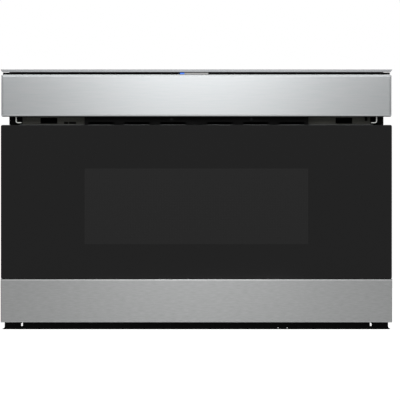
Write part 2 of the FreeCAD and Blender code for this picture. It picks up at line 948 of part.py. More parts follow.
def panel_housing():
    outer = cut(prism_x(housing_outline(0), -half_housing, half_housing), glass_wedge())
    inner = prism_x(housing_outline(housing_wall), -half_housing + housing_wall, half_housing - housing_wall)
    shell = cut(outer, inner)
    bosses = []
    holes = []
    length = boss_root + housing_wall + boss_length
    for side in (-1, 1):
        start = point(side * (half_housing - housing_wall - boss_root), pivot_depth, pivot_height)
        outwards = point(side, 0, 0)
        bosses.append(rod(boss_radius, length, start, outwards))
        holes.append(rod(pin_radius + running_gap, length, start, outwards))
    return cut(join([shell] + bosses), holes)


def touch_glass():
    rear_edge = touch_glass_front + touch_glass_depth
    outline = [(touch_glass_front, glass_line(touch_glass_front)), (rear_edge, glass_line(rear_edge)),
               (rear_edge, glass_line(rear_edge) + touch_glass_thickness),
               (touch_glass_front, glass_line(touch_glass_front) + touch_glass_thickness)]
    shape = prism_x(outline, -half_touch_glass, half_touch_glass)
    notch = block(bracket_outer - glass_notch_gap, half_front, front + column_setback - glass_notch_gap,
                  rear_edge + overcut, bar_bottom, front_height)
    shape = cut(shape, both_sides(notch))
    return cut(shape, [light_pocket(0, display_width / 2), light_pocket(-light_offset, light_width / 2)])


def light_pocket(x, half):
    reach = half + display_gap
    return block(x - reach, x + reach, touch_glass_front - overcut,
                 touch_glass_front + display_depth + display_gap, bar_top + display_low - display_gap,
                 bar_top + touch_glass_thickness)


def front_light(x, half):
    return block(x - half, x + half, touch_glass_front - display_proud, touch_glass_front + display_depth,
                 bar_top + display_low, bar_top + touch_glass_thickness - display_high)


def hinge_pins():
    pin = rod_x(pin_radius, half_housing - housing_wall - boss_root + 2 * seat_gap,
                bracket_outer + pin_overhang, pivot_depth, pivot_height)
    clip = rod_x(pin_radius + clip_reach, bracket_outer + seat_gap, bracket_outer + seat_gap + clip_thickness,
                 pivot_depth, pivot_height)
    return both_sides(join([pin, clip]))


def tilt_sector():
    x0 = sector_side
    x1 = sector_side + sector_thickness
    gear = gear_x(tilt_module, sector_teeth, tilt_backlash, x0, x1, pivot_depth, pivot_height, 0)
    reach = sector_radius * 2
    low = math.radians(-sector_low)
    high = math.radians(sector_high)
    wedge = prism_x([(pivot_depth, pivot_height),
                     (pivot_depth + reach * math.cos(low), pivot_height + reach * math.sin(low)),
                     (pivot_depth + reach, pivot_height),
                     (pivot_depth + reach * math.cos(high), pivot_height + reach * math.sin(high))], x0, x1)
    hub = rod_x(boss_radius, x0, x1, pivot_depth, pivot_height)
    bore = rod_x(pin_radius + running_gap, x0, x1, pivot_depth, pivot_height)
    return cut(join([gear.common(wedge), hub]), bore)


def tilt_pinion():
    middle = sector_side + sector_thickness / 2
    half = sector_thickness / 2 + tilt_pinion_spare
    turn = 180 - 180.0 / tilt_teeth
    gear = gear_x(tilt_module, tilt_teeth, tilt_backlash, middle - half, middle + half, tilt_depth,
                  pivot_height, turn)
    shaft = rod_x(tilt_shaft_radius, sector_side - tilt_shaft_length, middle + half + clip_thickness,
                  tilt_depth, pivot_height)
    return join([gear, shaft])


def tilt_motor():
    # square gearmotor on the header's back plate
    end = sector_side - tilt_motor_gap
    half = tilt_motor_size / 2
    body_front = tilt_depth - half + tilt_motor_shift
    body = block(end - tilt_motor_width, end, body_front, flange_front, pivot_height - half,
                 pivot_height + half)
    front_edges = edges_at(body, lambda a, b: near(a.y, body_front) and near(b.y, body_front))
    body = body.makeFillet(tilt_motor_round, front_edges)
    bore = rod_x(tilt_shaft_radius + running_gap, sector_side - tilt_shaft_length - overcut, end, tilt_depth,
                 pivot_height)
    return cut(body, bore)


# ---- header, brackets, grille, rails and trims ----
def top_trim():
    cover = block(-half_front, half_front, front, flange_back, front_height - trim_sheet, front_height)
    foot = half_front - trim_end_bevel
    outline = [(-half_front, front_height), (-foot, lip_bottom), (foot, lip_bottom),
               (half_front, front_height)]
    lip = prism_y(outline, front, front + trim_sheet)
    shape = join([cover, lip])
    edge = edges_at(shape, lambda a, b: near(a.y, front) and near(b.y, front)
                    and near(a.z, front_height) and near(b.z, front_height))
    return shape.makeFillet(trim_round, edge)


def case_rebate():
    # shallow seat behind the flange for the front edge of the case
    half = half_case + seat_gap
    return block(-half, half, case_front, flange_back, 0, case_top + seat_gap)


def header_frame():
    top = front_height - trim_sheet
    column_front = front + column_setback
    plate = cut(block(-half_flange, half_flange, flange_front, flange_back, frame_top, top), case_rebate())
    cheek = block(half_flange - header_sheet, half_flange, column_front, flange_front, frame_top, top)
    column = block(bracket_outer, half_flange, column_front, column_front + header_sheet, frame_top, top)
    shape = join([plate] + both_sides(cheek) + both_sides(column))
    holes = both_sides(rod_y(mount_hole_radius, flange_front, flange_back, mount_hole_offset,
                             mount_hole_high))
    inside = block(-half_flange + header_sheet, half_flange - header_sheet, front, flange_front, frame_top,
                   top)
    access = rod_y(driver_hole_radius, column_front, flange_front, mount_hole_offset - driver_hole_shift,
                   mount_hole_high).common(inside)
    return cut(shape, holes + both_sides(access))


def hinge_brackets():
    x0 = bracket_outer - bracket_thickness
    foot_low = pivot_height - bracket_drop
    leg = block(x0, bracket_outer, pivot_depth + bracket_clear, flange_front, foot_low,
                pivot_height + bracket_top)
    ear = rod_x(bracket_radius, x0, bracket_outer, pivot_depth, pivot_height)
    neck = block(x0, bracket_outer, pivot_depth, pivot_depth + bracket_clear + overcut,
                 pivot_height - bracket_radius, pivot_height + bracket_radius)
    foot = block(bracket_outer - bracket_foot, bracket_outer, pivot_depth + bracket_clear, flange_front,
                 foot_low, foot_low + bracket_thickness)
    shape = join([leg, ear, neck, foot])
    outer_bend = edges_at(shape, lambda a, b: along_y(a, b) and near(a.x, bracket_outer)
                          and near(a.z, foot_low))
    shape = shape.makeFillet(bracket_bend, outer_bend)
    inner_bend = edges_at(shape, lambda a, b: along_y(a, b) and near(a.x, x0)
                          and near(a.z, foot_low + bracket_thickness))
    shape = shape.makeFillet(bracket_bend - bracket_thickness, inner_bend)
    shape = cut(shape, rod_x(pin_radius + running_gap, x0, bracket_outer, pivot_depth, pivot_height))
    return both_sides(shape)


def air_grille():
    y0 = front + grille_setback
    y1 = y0 + grille_sheet
    face_plate = block(-half_grille, half_grille, y0, y1, frame_top, frame_top + grille_height)
    shelf = block(-half_grille, half_grille, y0, flange_front, frame_top, frame_top + grille_sheet)
    ridge_low = frame_top + grille_ridge_rise
    ridge = block(-half_grille, half_grille, y0 - grille_ridge_depth, y0, ridge_low, ridge_low + grille_ridge)
    tools = []
    low = frame_top + grille_slot_rise
    pitch = (last_slot - first_slot) / (grille_slots_each_side - 1)
    for index in range(grille_slots_each_side):
        x0 = first_slot + index * pitch - grille_slot_width / 2
        x1 = x0 + grille_slot_width
        tools += both_sides(block(x0, x1, y0 - overcut, y1, low, low + grille_slot_height))
        tools += both_sides(block(x0, x1, y1, flange_front - grille_shelf_rim, frame_top,
                                  frame_top + grille_sheet))
    for x in grille_screws:
        z = frame_top + grille_screw_rise
        tools.append(rod_y(screw_radius / 2 + running_gap, y0, y1, x, z))
        tools.append(rod_y(grille_screw_radius + screw_gap, y0 - grille_ridge_depth, y0, x, z))
    return cut(join([face_plate, shelf, ridge]), tools)


def support_rails():
    y0 = front + rail_setback
    lip_front = y0 - rail_lip
    upright_plate = block(rail_inner, rail_outer, y0, y0 + frame_sheet, frame_top, frame_top + rail_height)
    shelf = block(rail_inner, rail_outer, y0, flange_front, frame_top, frame_top + frame_sheet)
    lip = block(rail_inner, rail_outer, lip_front, y0, frame_top, frame_top + rail_lip_height)
    lip_edges = edges_at(lip, lambda a, b: near(a.y, lip_front) and near(b.y, lip_front)
                         and near(a.z, b.z))
    lip = lip.makeFillet(rail_lip_height * rail_lip_round, lip_edges)
    hole_end = rail_outer - rail_hole_end
    hole = block(hole_end - rail_hole_width, hole_end, y0, y0 + frame_sheet, frame_top + rail_hole_foot,
                 frame_top + rail_height - rail_hole_margin)
    right = cut(join([upright_plate, shelf, lip]), hole)
    notches = []
    x = rail_outer - rail_notch_end
    for width in rail_notch_widths:
        notches.append(block(-x, -x + width, lip_front, y0 + frame_sheet, frame_top,
                             frame_top + rail_notch_height))
        x -= width + rail_notch_post
    return [right, cut(mirror_x(right), notches)]


def bottom_trim():
    y0 = front + base_trim_setback
    half = half_front - base_trim_inset
    wall = block(-half, half, y0, y0 + trim_sheet, 0, base_height)
    lip = block(-half - base_lip_reach, half + base_lip_reach, y0, y0 + trim_sheet, 0, base_lip_height)
    corners = []
    for side in (-1, 1):
        corner = block(0, base_lip_reach, y0, y0 + trim_sheet, base_lip_height,
                       base_lip_height + base_lip_reach)
        round_cut = rod_y(base_lip_reach, y0, y0 + trim_sheet, base_lip_reach,
                          base_lip_height + base_lip_reach)
        corner = cut(corner, round_cut)
        corner.translate(point(half, 0, 0))
        corners.append(corner if side > 0 else mirror_x(corner))
    shelf = block(-half, half, y0, flange_back + skid_setback - seat_gap, base_height - trim_sheet,
                  base_height)
    end = block(half - trim_sheet, half, y0, flange_front, 0, base_height)
    shape = join([wall, lip, shelf] + corners + both_sides(end))
    slit = half_front - base_slit_inset
    tools = both_sides(block(slit - base_slit_width / 2, slit + base_slit_width / 2, y0,
                             flange_back + skid_setback, base_height - base_slit_height, base_height))
    straight = (base_dimple_length - base_dimple_height) / 2
    radius = base_dimple_height / 2
    for index in range(base_dimples):
        x = (index - (base_dimples - 1) / 2) * base_dimple_pitch
        dimple = [block(x - straight, x + straight, y0, y0 + base_dimple_depth,
                        base_dimple_rise - radius, base_dimple_rise + radius)]
        for side in (-1, 1):
            dimple.append(rod_y(radius, y0, y0 + base_dimple_depth, x + side * straight, base_dimple_rise))
        tools.append(join(dimple))
    for x in base_drains:
        tools.append(rod_y(base_drain_radius, y0, y0 + trim_sheet, x, base_drain_rise))
    return cut(shape, tools)


# ---- chassis ----
def frame_holes():
    # openings in the front frame's face for the cavity's mouth and what passes through
    y0 = face - overcut
    y1 = face_back + overcut
    tools = [block(-half_cavity, half_cavity, y0, y1, cavity_floor, cavity_top)]
    half = slide_height / 2 - slide_sheet + slide_gap / 2
    slide = block(cavity_side + slide_sheet, cavity_side + slide_depth, y0, y1,
                  slide_middle_height - half, slide_middle_height + half)
    tools += both_sides(slide)
    half = rack_width / 2 + opening_gap
    tools.append(block(-rack_offset - half, -rack_offset + half, y0, y1,
                       rack_pitch_line - drive_module - opening_gap, rack_top + opening_gap))
    for rise in switch_rises:
        tools.append(hook_block(rise, 2 * opening_gap, y0, y1))
    return tools


def front_frame():
    outer = block(-half_pan, half_pan, face, flange_back, base_height, frame_top)
    inner = block(-half_pan + frame_sheet, half_pan - frame_sheet, face_back, flange_back,
                  base_height + frame_sheet, frame_top - frame_sheet)
    flange = cut(block(-half_flange, half_flange, flange_front, flange_back, base_height, frame_top),
                 block(-half_pan + overcut, half_pan - overcut, flange_front, flange_back,
                       base_height + frame_sheet, frame_top - frame_sheet))
    shape = join([cut(outer, inner), flange])
    shape = cut(shape, frame_holes())
    vents = []
    for index in range(frame_vents):
        x = (index - (frame_vents - 1) / 2) * frame_vent_pitch
        vents.append(block(x - frame_vent_width / 2, x + frame_vent_width / 2, face_back,
                           flange_front - frame_vent_rim, frame_top - frame_sheet, frame_top))
    holes = both_sides(rod_y(mount_hole_radius, flange_front, flange_back, mount_hole_offset, mount_hole_low))
    return cut(shape, vents + holes + [case_rebate()])


def outer_case():
    outer = block(-half_case, half_case, case_front, rear - rear_sheet, base_height, case_top)
    inner = block(-half_case + case_sheet, half_case - case_sheet, case_front, rear - rear_sheet,
                  base_height, case_top - case_sheet)
    lip = block(-half_case, half_case, rear - rear_sheet - case_sheet, rear - rear_sheet, pan_top, case_top)
    lip = cut(lip, block(-half_case + case_lip, half_case - case_lip, flange_back, rear, base_height,
                         case_top - case_lip))
    shape = join([cut(outer, inner), lip])
    tools = []
    for row in range(case_vent_rows):
        for index in range(case_vents):
            y0 = rear - case_vent_rear + index * case_vent_pitch
            z1 = case_top - case_vent_drop - row * case_vent_row_pitch
            tools.append(block(-half_case - overcut, -half_case + case_sheet, y0, y0 + case_vent_width,
                               z1 - case_vent_height, z1))
    tools += case_screw_holes()
    return cut(shape, tools)


def case_screw_places():
    high = case_top - case_screw_inset
    side = half_case - case_screw_inset
    places = [(0, high)]
    for z in (base_height + case_screw_low, (base_height + case_top) / 2, high):
        places += [(-side, z), (side, z)]
    return places


def case_screw_holes():
    radius = screw_radius + screw_gap
    return [rod_y(radius, rear - 3 * case_sheet, rear + overcut, x, z) for x, z in case_screw_places()]


def case_screws():
    # cross-recessed screws of the case, and two small ones that hold the air grille
    screws = []
    half_width = screw_recess_width / 2
    half_length = screw_recess_length / 2
    end = rear + screw_head
    for x, z in case_screw_places():
        head = rod_y(screw_head_radius, rear, end, x, z)
        shank = rod_y(screw_radius, rear - case_screw_length, rear, x, z)
        slot = block(x - half_width, x + half_width, end - screw_recess, end, z - half_length,
                     z + half_length)
        cross = block(x - half_length, x + half_length, end - screw_recess, end, z - half_width,
                      z + half_width)
        screws.append(cut(join([head, shank]), [slot, cross]))
    face_of_grille = front + grille_setback
    for x in grille_screws:
        z = frame_top + grille_screw_rise
        head = rod_y(grille_screw_radius, face_of_grille - grille_screw_head, face_of_grille, x, z)
        shank = rod_y(screw_radius / 2, face_of_grille, face_of_grille + case_screw_length, x, z)
        screws.append(join([head, shank]))
    return screws


def rear_panel():
    inside = rear - rear_sheet
    shape = block(-half_case, half_case, inside, rear, base_height, case_top)
    tools = case_screw_holes()
    tools.append(rod_y(gland_nose_radius, inside, rear, -gland_offset, gland_rise))
    for row in range(guard_rings):
        ring = guard_first_ring + row * guard_ring_step
        count = int(ring / 2)
        for index in range(count):
            angle = 2 * math.pi * index / count
            tools.append(rod_y(guard_hole_radius, inside, rear, ring * math.cos(angle),
                               fan_height + ring * math.sin(angle)))
    for index in range(rear_vents):
        x = (index - (rear_vents - 1) / 2) * rear_vent_pitch
        for row in range(2):
            z = case_top - rear_vent_drop - row * rear_vent_row_pitch
            tools.append(block(x - rear_vent_width / 2, x + rear_vent_width / 2, inside, rear,
                               z - rear_vent_height, z))
    return cut(shape, tools)


def base_pan():
    half = half_case - case_sheet
    end = rear - rear_sheet
    floor = block(-half, half, case_front, end, base_height, pan_top)
    side = block(half - frame_sheet, half, case_front, end - case_sheet - seat_gap, base_height,
                 base_height + pan_flange)
    shape = join([floor] + both_sides(side))
    tools = []
    for index in range(pan_vents):
        y0 = cavity_middle - pan_vent_lead + index * pan_vent_pitch
        tools += both_sides(block(pan_vent_inner, pan_vent_inner + pan_vent_length, y0, y0 + pan_vent_width,
                                  base_height, pan_top))
    return cut(shape, tools)


def skids():
    x0 = half_case - skid_inset - skid_width / 2
    x1 = x0 + skid_width
    y0 = flange_back + skid_setback
    y1 = rear - skid_rear_gap
    bar = block(x0, x1, y0, y1, 0, base_height)
    groove = block(x0 + skid_wall, x1 - skid_wall, y0, y1, trim_sheet, base_height - trim_sheet)
    return both_sides(cut(bar, groove))


def cavity():
    outer = block(-cavity_side, cavity_side, face_back, cavity_rear + cavity_sheet,
                  cavity_floor - cavity_sheet, cavity_top + cavity_sheet)
    inner = block(-half_cavity, half_cavity, face_back, cavity_rear, cavity_floor, cavity_top)
    sump = rod_z(sump_radius + cavity_sheet, sump_floor - cavity_sheet, cavity_floor - cavity_sheet / 2,
                 0, cavity_middle)
    shape = join([cut(outer, inner), sump])
    recess = rod_z(sump_radius, cavity_floor - cover_thickness, cavity_floor + overcut, 0, cavity_middle)
    well = rod_z(sump_radius - sump_ledge, sump_floor, cavity_floor, 0, cavity_middle)
    launch = rod_z(launch_radius, sump_floor - 2 * overcut, sump_floor + overcut, 0, cavity_middle)
    tools = [recess, well, launch]
    for row in range(lamp_rows):
        for index in range(lamp_rows):
            y = lamp_depth + (index - (lamp_rows - 1) / 2) * lamp_hole_pitch
            z = lamp_rise + (row - (lamp_rows - 1) / 2) * lamp_hole_pitch
            tools.append(rod_x(lamp_hole_radius, half_cavity - overcut, cavity_side + overcut, y, z))
    return cut(shape, tools)


def cavity_brackets():
    # four channel posts between the base pan and the cavity, open to the sides
    posts = []
    x0 = post_inner
    x1 = post_inner + post_width
    top = cavity_floor - cavity_sheet
    for y in (face + post_front_gap, cavity_rear - post_rear_gap):
        y0 = y - post_depth / 2
        y1 = y + post_depth / 2
        hollow = block(x0 + post_sheet, x1, y0 + post_sheet, y1 - post_sheet, pan_top + post_sheet,
                       top - post_sheet)
        posts += both_sides(cut(block(x0, x1, y0, y1, pan_top, top), hollow))
    return posts


# ---- microwave parts ----
def waveguide():
    half = waveguide_width / 2
    y0 = cavity_middle - half
    y1 = magnetron_middle + half
    outer = block(-half, half, y0, y1, waveguide_bottom, waveguide_top)
    inner = block(-half + waveguide_sheet, half - waveguide_sheet, y0 + waveguide_sheet, y1 - waveguide_sheet,
                  waveguide_bottom + waveguide_sheet, waveguide_top - waveguide_sheet)
    tools = [inner, rod_z(launch_radius, waveguide_top - 3 * waveguide_sheet, waveguide_top, 0,
                          cavity_middle), rod_z(dome_radius + seat_gap, waveguide_top - 3 * waveguide_sheet,
                                                waveguide_top, 0, magnetron_middle),
             rod_z(antenna_shaft_radius + antenna_shaft_clear, waveguide_bottom,
                   waveguide_bottom + 3 * waveguide_sheet, 0, cavity_middle)]
    return cut(outer, tools)


def antenna_cover():
    return rod_z(sump_radius - seat_gap, cavity_floor - cover_thickness, cavity_floor, 0, cavity_middle)


def antenna():
    low = sump_floor + antenna_rise
    plate = rod_z(antenna_radius, low, low + antenna_sheet, 0, cavity_middle)
    shaft = rod_z(antenna_shaft_radius, waveguide_bottom - antenna_shaft_reach, low, 0, cavity_middle)
    tools = []
    for index in range(antenna_holes):
        angle = 2 * math.pi * index / antenna_holes
        tools.append(rod_z(antenna_hole_radius + antenna_hole_step * index, low, low + antenna_sheet,
                           antenna_hole_circle * math.cos(angle),
                           cavity_middle + antenna_hole_circle * math.sin(angle)))
    return join([cut(plate, tools), shaft])


def antenna_motor():
    top = waveguide_bottom
    low = top - antenna_motor_height
    ear_low = top - antenna_motor_plate
    reach = antenna_motor_radius + antenna_motor_ear
    can = rod_z(antenna_motor_radius, low, ear_low, 0, cavity_middle)
    ears = block(-reach, reach, cavity_middle - antenna_motor_ear, cavity_middle + antenna_motor_ear,
                 ear_low, top)
    bore = rod_z(antenna_shaft_radius + running_gap, top - antenna_shaft_reach - overcut, top, 0,
                 cavity_middle)
    return cut(join([can, ears]), bore)


def magnetron():
    half = magnetron_width / 2
    low = waveguide_top
    high = low + magnetron_height
    yoke = block(-half, half, magnetron_middle - half, magnetron_middle + half, low, high)
    yoke = cut(yoke, block(-half + magnetron_sheet, half - magnetron_sheet, magnetron_middle - half,
                           magnetron_middle + half, low + magnetron_sheet, high - magnetron_sheet))
    core = rod_z(magnetron_core_radius, low, high, 0, magnetron_middle)
    dome = rod_z(dome_radius, low - dome_length, low, 0, magnetron_middle)
    pieces = [yoke, core, dome]
    reach = half - magnetron_fin_inset
    for index in range(magnetron_fins):
        z = low + magnetron_fin_low + index * magnetron_fin_pitch
        pieces.append(block(-half + magnetron_fin, half - magnetron_fin, magnetron_middle - reach,
                            magnetron_middle + reach, z, z + magnetron_fin))
    box_x = magnetron_box_width / 2
    box_y = magnetron_box_depth / 2
    box = block(-box_x, box_x, magnetron_middle - box_y, magnetron_middle + box_y, high,
                high + magnetron_box_height)
    return join(pieces + [box])


def transformer_limb_window(side):
    # one of the two windows that the coils pass through
    low = pan_top + transformer_yoke
    high = pan_top + transformer_height - transformer_yoke
    inner = transformer_limb / 2
    y0 = rear_bay + (inner if side > 0 else -inner - transformer_window)
    half = transformer_width / 2
    return block(-transformer_offset - half, -transformer_offset + half, y0, y0 + transformer_window, low,
                 high)


def transformer_core():
    half = transformer_width / 2
    body = block(-transformer_offset - half, -transformer_offset + half, rear_bay - transformer_depth / 2,
                 rear_bay + transformer_depth / 2, pan_top, pan_top + transformer_height)
    return cut(body, [transformer_limb_window(-1), transformer_limb_window(1)])


def transformer_coils():
    # two coils, one above the other, wound round the middle limb
    half_x = transformer_width / 2 + coil_overhang
    half_y = transformer_limb / 2 + transformer_window - seat_gap
    low = pan_top + transformer_yoke + seat_gap
    high = pan_top + transformer_height - transformer_yoke - seat_gap
    middle = (low + high) / 2
    hole_x = transformer_width / 2 + seat_gap
    hole_y = transformer_limb / 2 + seat_gap
    coils = []
    for z0, z1 in ((low, middle - coil_gap / 2), (middle + coil_gap / 2, high)):
        outer = rounded_block(-half_x, half_x, -half_y, half_y, z0, z1, coil_corner)
        coil = cut(outer, block(-hole_x, hole_x, -hole_y, hole_y, z0, z1))
        coil.translate(point(-transformer_offset, rear_bay, 0))
        coils.append(coil)
    return coils


def hv_capacitor():
    half_x = capacitor_width / 2
    half_y = capacitor_length / 2
    can = rounded_block(capacitor_offset - half_x, capacitor_offset + half_x, rear_bay - half_y,
                        rear_bay + half_y, pan_top, pan_top + capacitor_height, half_x - capacitor_flat)
    reach = half_x + capacitor_ear
    strap = block(capacitor_offset - reach, capacitor_offset + reach, rear_bay - capacitor_strap_width / 2,
                  rear_bay + capacitor_strap_width / 2, pan_top, pan_top + capacitor_strap)
    posts = []
    top = pan_top + capacitor_height
    for y in (rear_bay - terminal_spacing / 2, rear_bay + terminal_spacing / 2):
        posts.append(rod_z(terminal_radius, top, top + terminal_base, capacitor_offset, y))
        posts.append(tab(capacitor_offset, y, top + terminal_base))
    return join([can, strap] + posts)


def tab(x, y, z):
    # flat connector blade standing on z
    return block(x - tab_width / 2, x + tab_width / 2, y - tab_thickness / 2, y + tab_thickness / 2, z,
                 z + tab_length)


def power_board():
    foot = cavity_top + cavity_sheet
    deck = foot + board_post + board_thickness
    left = -board_width / 2
    right = board_width / 2
    near_edge = cavity_middle - board_length / 2
    far_edge = near_edge + board_length
    pieces = [block(left, right, near_edge, far_edge, foot + board_post, deck)]
    for x in (left + board_post_inset, right - board_post_inset):
        for y in (near_edge + board_post_inset, far_edge - board_post_inset):
            pieces.append(rod_z(board_post_radius, foot, foot + board_post, x, y))
    for index in range(relays):
        x = left + relay_side + index * relay_pitch
        y = near_edge + relay_front
        pieces.append(block(x, x + relay_width, y, y + relay_length, deck, deck + relay_height))
    for index in range(filters):
        pieces.append(rod_z(filter_radius, deck, deck + filter_height,
                            left + filter_side + index * filter_pitch, near_edge + filter_front))
    x = right - choke_coil_side - choke_coil_size
    y = near_edge + choke_coil_front
    pieces.append(block(x, x + choke_coil_size, y, y + choke_coil_size, deck, deck + choke_coil_height))
    x = right - connector_side - connector_length
    y = near_edge + connector_front
    pieces.append(block(x, x + connector_length, y, y + connector_width, deck, deck + connector_height))
    return join(pieces)


def lamp_holder():
    x0 = cavity_side
    plate = block(x0, x0 + lamp_plate, lamp_depth - lamp_plate_length / 2, lamp_depth + lamp_plate_length / 2,
                  lamp_rise - lamp_plate_height / 2, lamp_rise + lamp_plate_height / 2)
    inside = lamp_radius + running_gap + cavity_sheet
    hood = rod_x(inside + lamp_wall, x0, lamp_end + lamp_wall, lamp_depth, lamp_rise)
    return cut(join([plate, hood]), rod_x(inside, x0, lamp_end, lamp_depth, lamp_rise))


def lamp_bulb():
    cap = rod_x(lamp_radius - lamp_wall, lamp_end - lamp_cap, lamp_end, lamp_depth, lamp_rise)
    glass = rod_x(lamp_radius, lamp_end - lamp_cap - lamp_glass, lamp_end - lamp_cap, lamp_depth, lamp_rise)
    ends = [edge for edge in glass.Edges if near(edge.BoundBox.XLength, 0)]
    return join([cap, glass.makeFillet(lamp_round, ends)])


def thermal_cutouts():
    pieces = []
    z = cavity_top + cavity_sheet
    for x, y in ((cutout_offset, cavity_middle), (-cutout_offset, cavity_middle + cutout_setback)):
        reach = cutout_radius + cutout_ear
        ears = block(x - reach, x + reach, y - cutout_plate_width / 2, y + cutout_plate_width / 2, z,
                     z + cutout_plate)
        disc = rod_z(cutout_radius, z + cutout_plate, z + cutout_plate + cutout_height, x, y)
        pieces.append(join([ears, disc, tab(x, y, z + cutout_plate + cutout_height)]))
    return pieces


# ---- drives ----
def drive_pinion():
    x0 = -rack_offset - rack_width / 2
    x1 = -rack_offset + rack_width / 2
    turn = 90 - 180.0 / drive_teeth
    gear = gear_x(drive_module, drive_teeth, drive_backlash, x0, x1, drive_depth, drive_height, turn)
    shaft = rod_x(drive_shaft_radius, x0 - clip_thickness,
                  x1 + gearbox_gap + gearbox_bore_depth - running_gap * 4, drive_depth, drive_height)
    return join([gear, shaft])


def drive_motor():
    # worm gearbox and motor can on a bent foot
    x0 = -rack_offset + rack_width / 2 + gearbox_gap
    x1 = x0 + gearbox_width
    half = gearbox_height / 2
    middle = drive_depth + gearbox_setback
    y0 = middle - gearbox_length / 2
    y1 = middle + gearbox_length / 2
    gearbox = block(x0, x1, y0, y1, drive_height - half, drive_height + half)
    long_edges = edges_at(gearbox, lambda a, b: near(a.y, b.y) and near(a.z, b.z))
    gearbox = gearbox.makeFillet(gearbox_round, long_edges)
    can = rod_x(drive_motor_radius, x1, x1 + drive_motor_length, middle, drive_height)
    leg = block(x0 + gearbox_round, x1 - gearbox_round, middle - drive_leg, middle, pan_top, drive_height)
    foot = block(x0 + gearbox_round, x1 - gearbox_round, middle - drive_foot_length / 2,
                 middle + drive_foot_length / 2, pan_top, pan_top + drive_foot)
    bore = rod_x(drive_shaft_radius + running_gap, x0, x0 + gearbox_bore_depth, drive_depth, drive_height)
    return cut(join([gearbox, can, leg, foot]), bore)


# ---- cooling fan ----
def fan_housing():
    half = fan_housing_width / 2
    end = rear - rear_sheet
    outer = block(-half, half, fan_front, end, fan_height - half, fan_height + half)
    inner = block(-half + fan_wall, half - fan_wall, fan_front + fan_wall, end,
                  fan_height - half + fan_wall, fan_height + half - fan_wall)
    opening = rod_y(fan_opening_radius, fan_front, fan_front + fan_wall, 0, fan_height)
    return cut(outer, [inner, opening])


def fan_blade_shape():
    # one upright blade, wider than the wheel, round the wheel's middle
    half = fan_blade_depth / 2
    blade = block(-fan_blade / 2, fan_blade / 2, -fan_blade_depth, fan_blade_depth, 0,
                  fan_radius + 2 * overcut)
    blade.rotate(point(0, 0, 0), point(0, 0, 1), fan_blade_angle)
    blade = blade.common(block(-fan_blade_depth, fan_blade_depth, -half, half, 0, fan_radius + 2 * overcut))
    blade.translate(point(0, fan_wheel_rear - half, fan_height))
    return blade


def fan_wheel():
    y0 = fan_wheel_rear - fan_blade_depth
    hub = rod_y(fan_hub_radius, y0, fan_wheel_rear, 0, fan_height)
    shaft = rod_y(fan_shaft_radius, y0, fan_wheel_rear + fan_shaft_reach, 0, fan_height)
    limit = rod_y(fan_radius, y0, fan_wheel_rear, 0, fan_height)
    blades = []
    for index in range(fan_blades):
        blade = fan_blade_shape()
        blade.rotate(point(0, 0, fan_height), point(0, 1, 0), 360.0 * index / fan_blades)
        blades.append(blade.common(limit))
    return join([hub, shaft] + blades)


def fan_motor():
    half = fan_motor_size / 2
    y0 = fan_wheel_rear + fan_motor_gap
    y1 = y0 + fan_motor_depth
    low = fan_height - half
    core = block(-half, half, y0, y1, low, low + fan_motor_size)
    coil_low = low + fan_post_inset - fan_post_radius / 2
    coil_high = coil_low + fan_coil_height
    window = block(-fan_core_window / 2, fan_core_window / 2, y0, y1, coil_low + fan_post_inset, coil_high)
    coil = block(-fan_coil_width / 2, fan_coil_width / 2, y0 - fan_motor_gap / 3, y1 + fan_coil_proud,
                 coil_low, coil_high)
    posts = []
    reach = half - fan_post_inset
    for z in (fan_height - reach, fan_height + reach):
        posts += both_sides(rod_y(fan_post_radius, y1, rear - rear_sheet, reach, z))
    bore = rod_y(fan_shaft_radius + running_gap, y0 - fan_motor_gap,
                 fan_wheel_rear + fan_shaft_reach + running_gap, 0, fan_height)
    return cut(join([cut(core, window), coil] + posts), bore)


# ---- interlocks ----
def interlock_switches():
    bodies = []
    rear_face = switch_front + switch_depth
    for rise in switch_rises:
        middle = cavity_floor + rise
        body = block(switch_offset - switch_width / 2, switch_offset + switch_width / 2, switch_front,
                     rear_face, middle - switch_length / 2, middle + switch_length / 2)
        bore = rod_y(plunger_radius + running_gap, switch_front, switch_front + switch_bore_depth,
                     switch_offset, middle)
        pins = []
        for z in (middle - switch_pin_spacing / 2, middle + switch_pin_spacing / 2):
            pins.append(block(switch_offset - tab_thickness / 2, switch_offset + tab_thickness / 2, rear_face,
                              rear_face + tab_length, z - tab_width / 2, z + tab_width / 2))
        bodies.append(join([cut(body, bore)] + pins))
    return bodies


def plunger(rise):
    # pressed in at rest, with room behind it for the rest of its stroke
    end = switch_front + switch_bore_depth - plunger_stroke - seat_gap
    shape = rod_y(plunger_radius, plunger_front, end, switch_offset, cavity_floor + rise)
    tip = [edge for edge in shape.Edges if near(edge.BoundBox.YMax, plunger_front)]
    return shape.makeFillet(plunger_round, tip)


def switch_bracket():
    x0 = switch_offset + switch_width / 2
    low = cavity_floor + switch_rises[0] - switch_length / 2 - bracket_margin
    high = cavity_floor + switch_rises[-1] + switch_length / 2 + bracket_margin
    plate = block(x0, x0 + bracket_sheet, face_back, switch_front + switch_depth + bracket_rear_margin, low,
                  high)
    foot = block(x0, x0 + bracket_foot_width, face_back, face_back + bracket_sheet, low, high)
    return join([plate, foot])


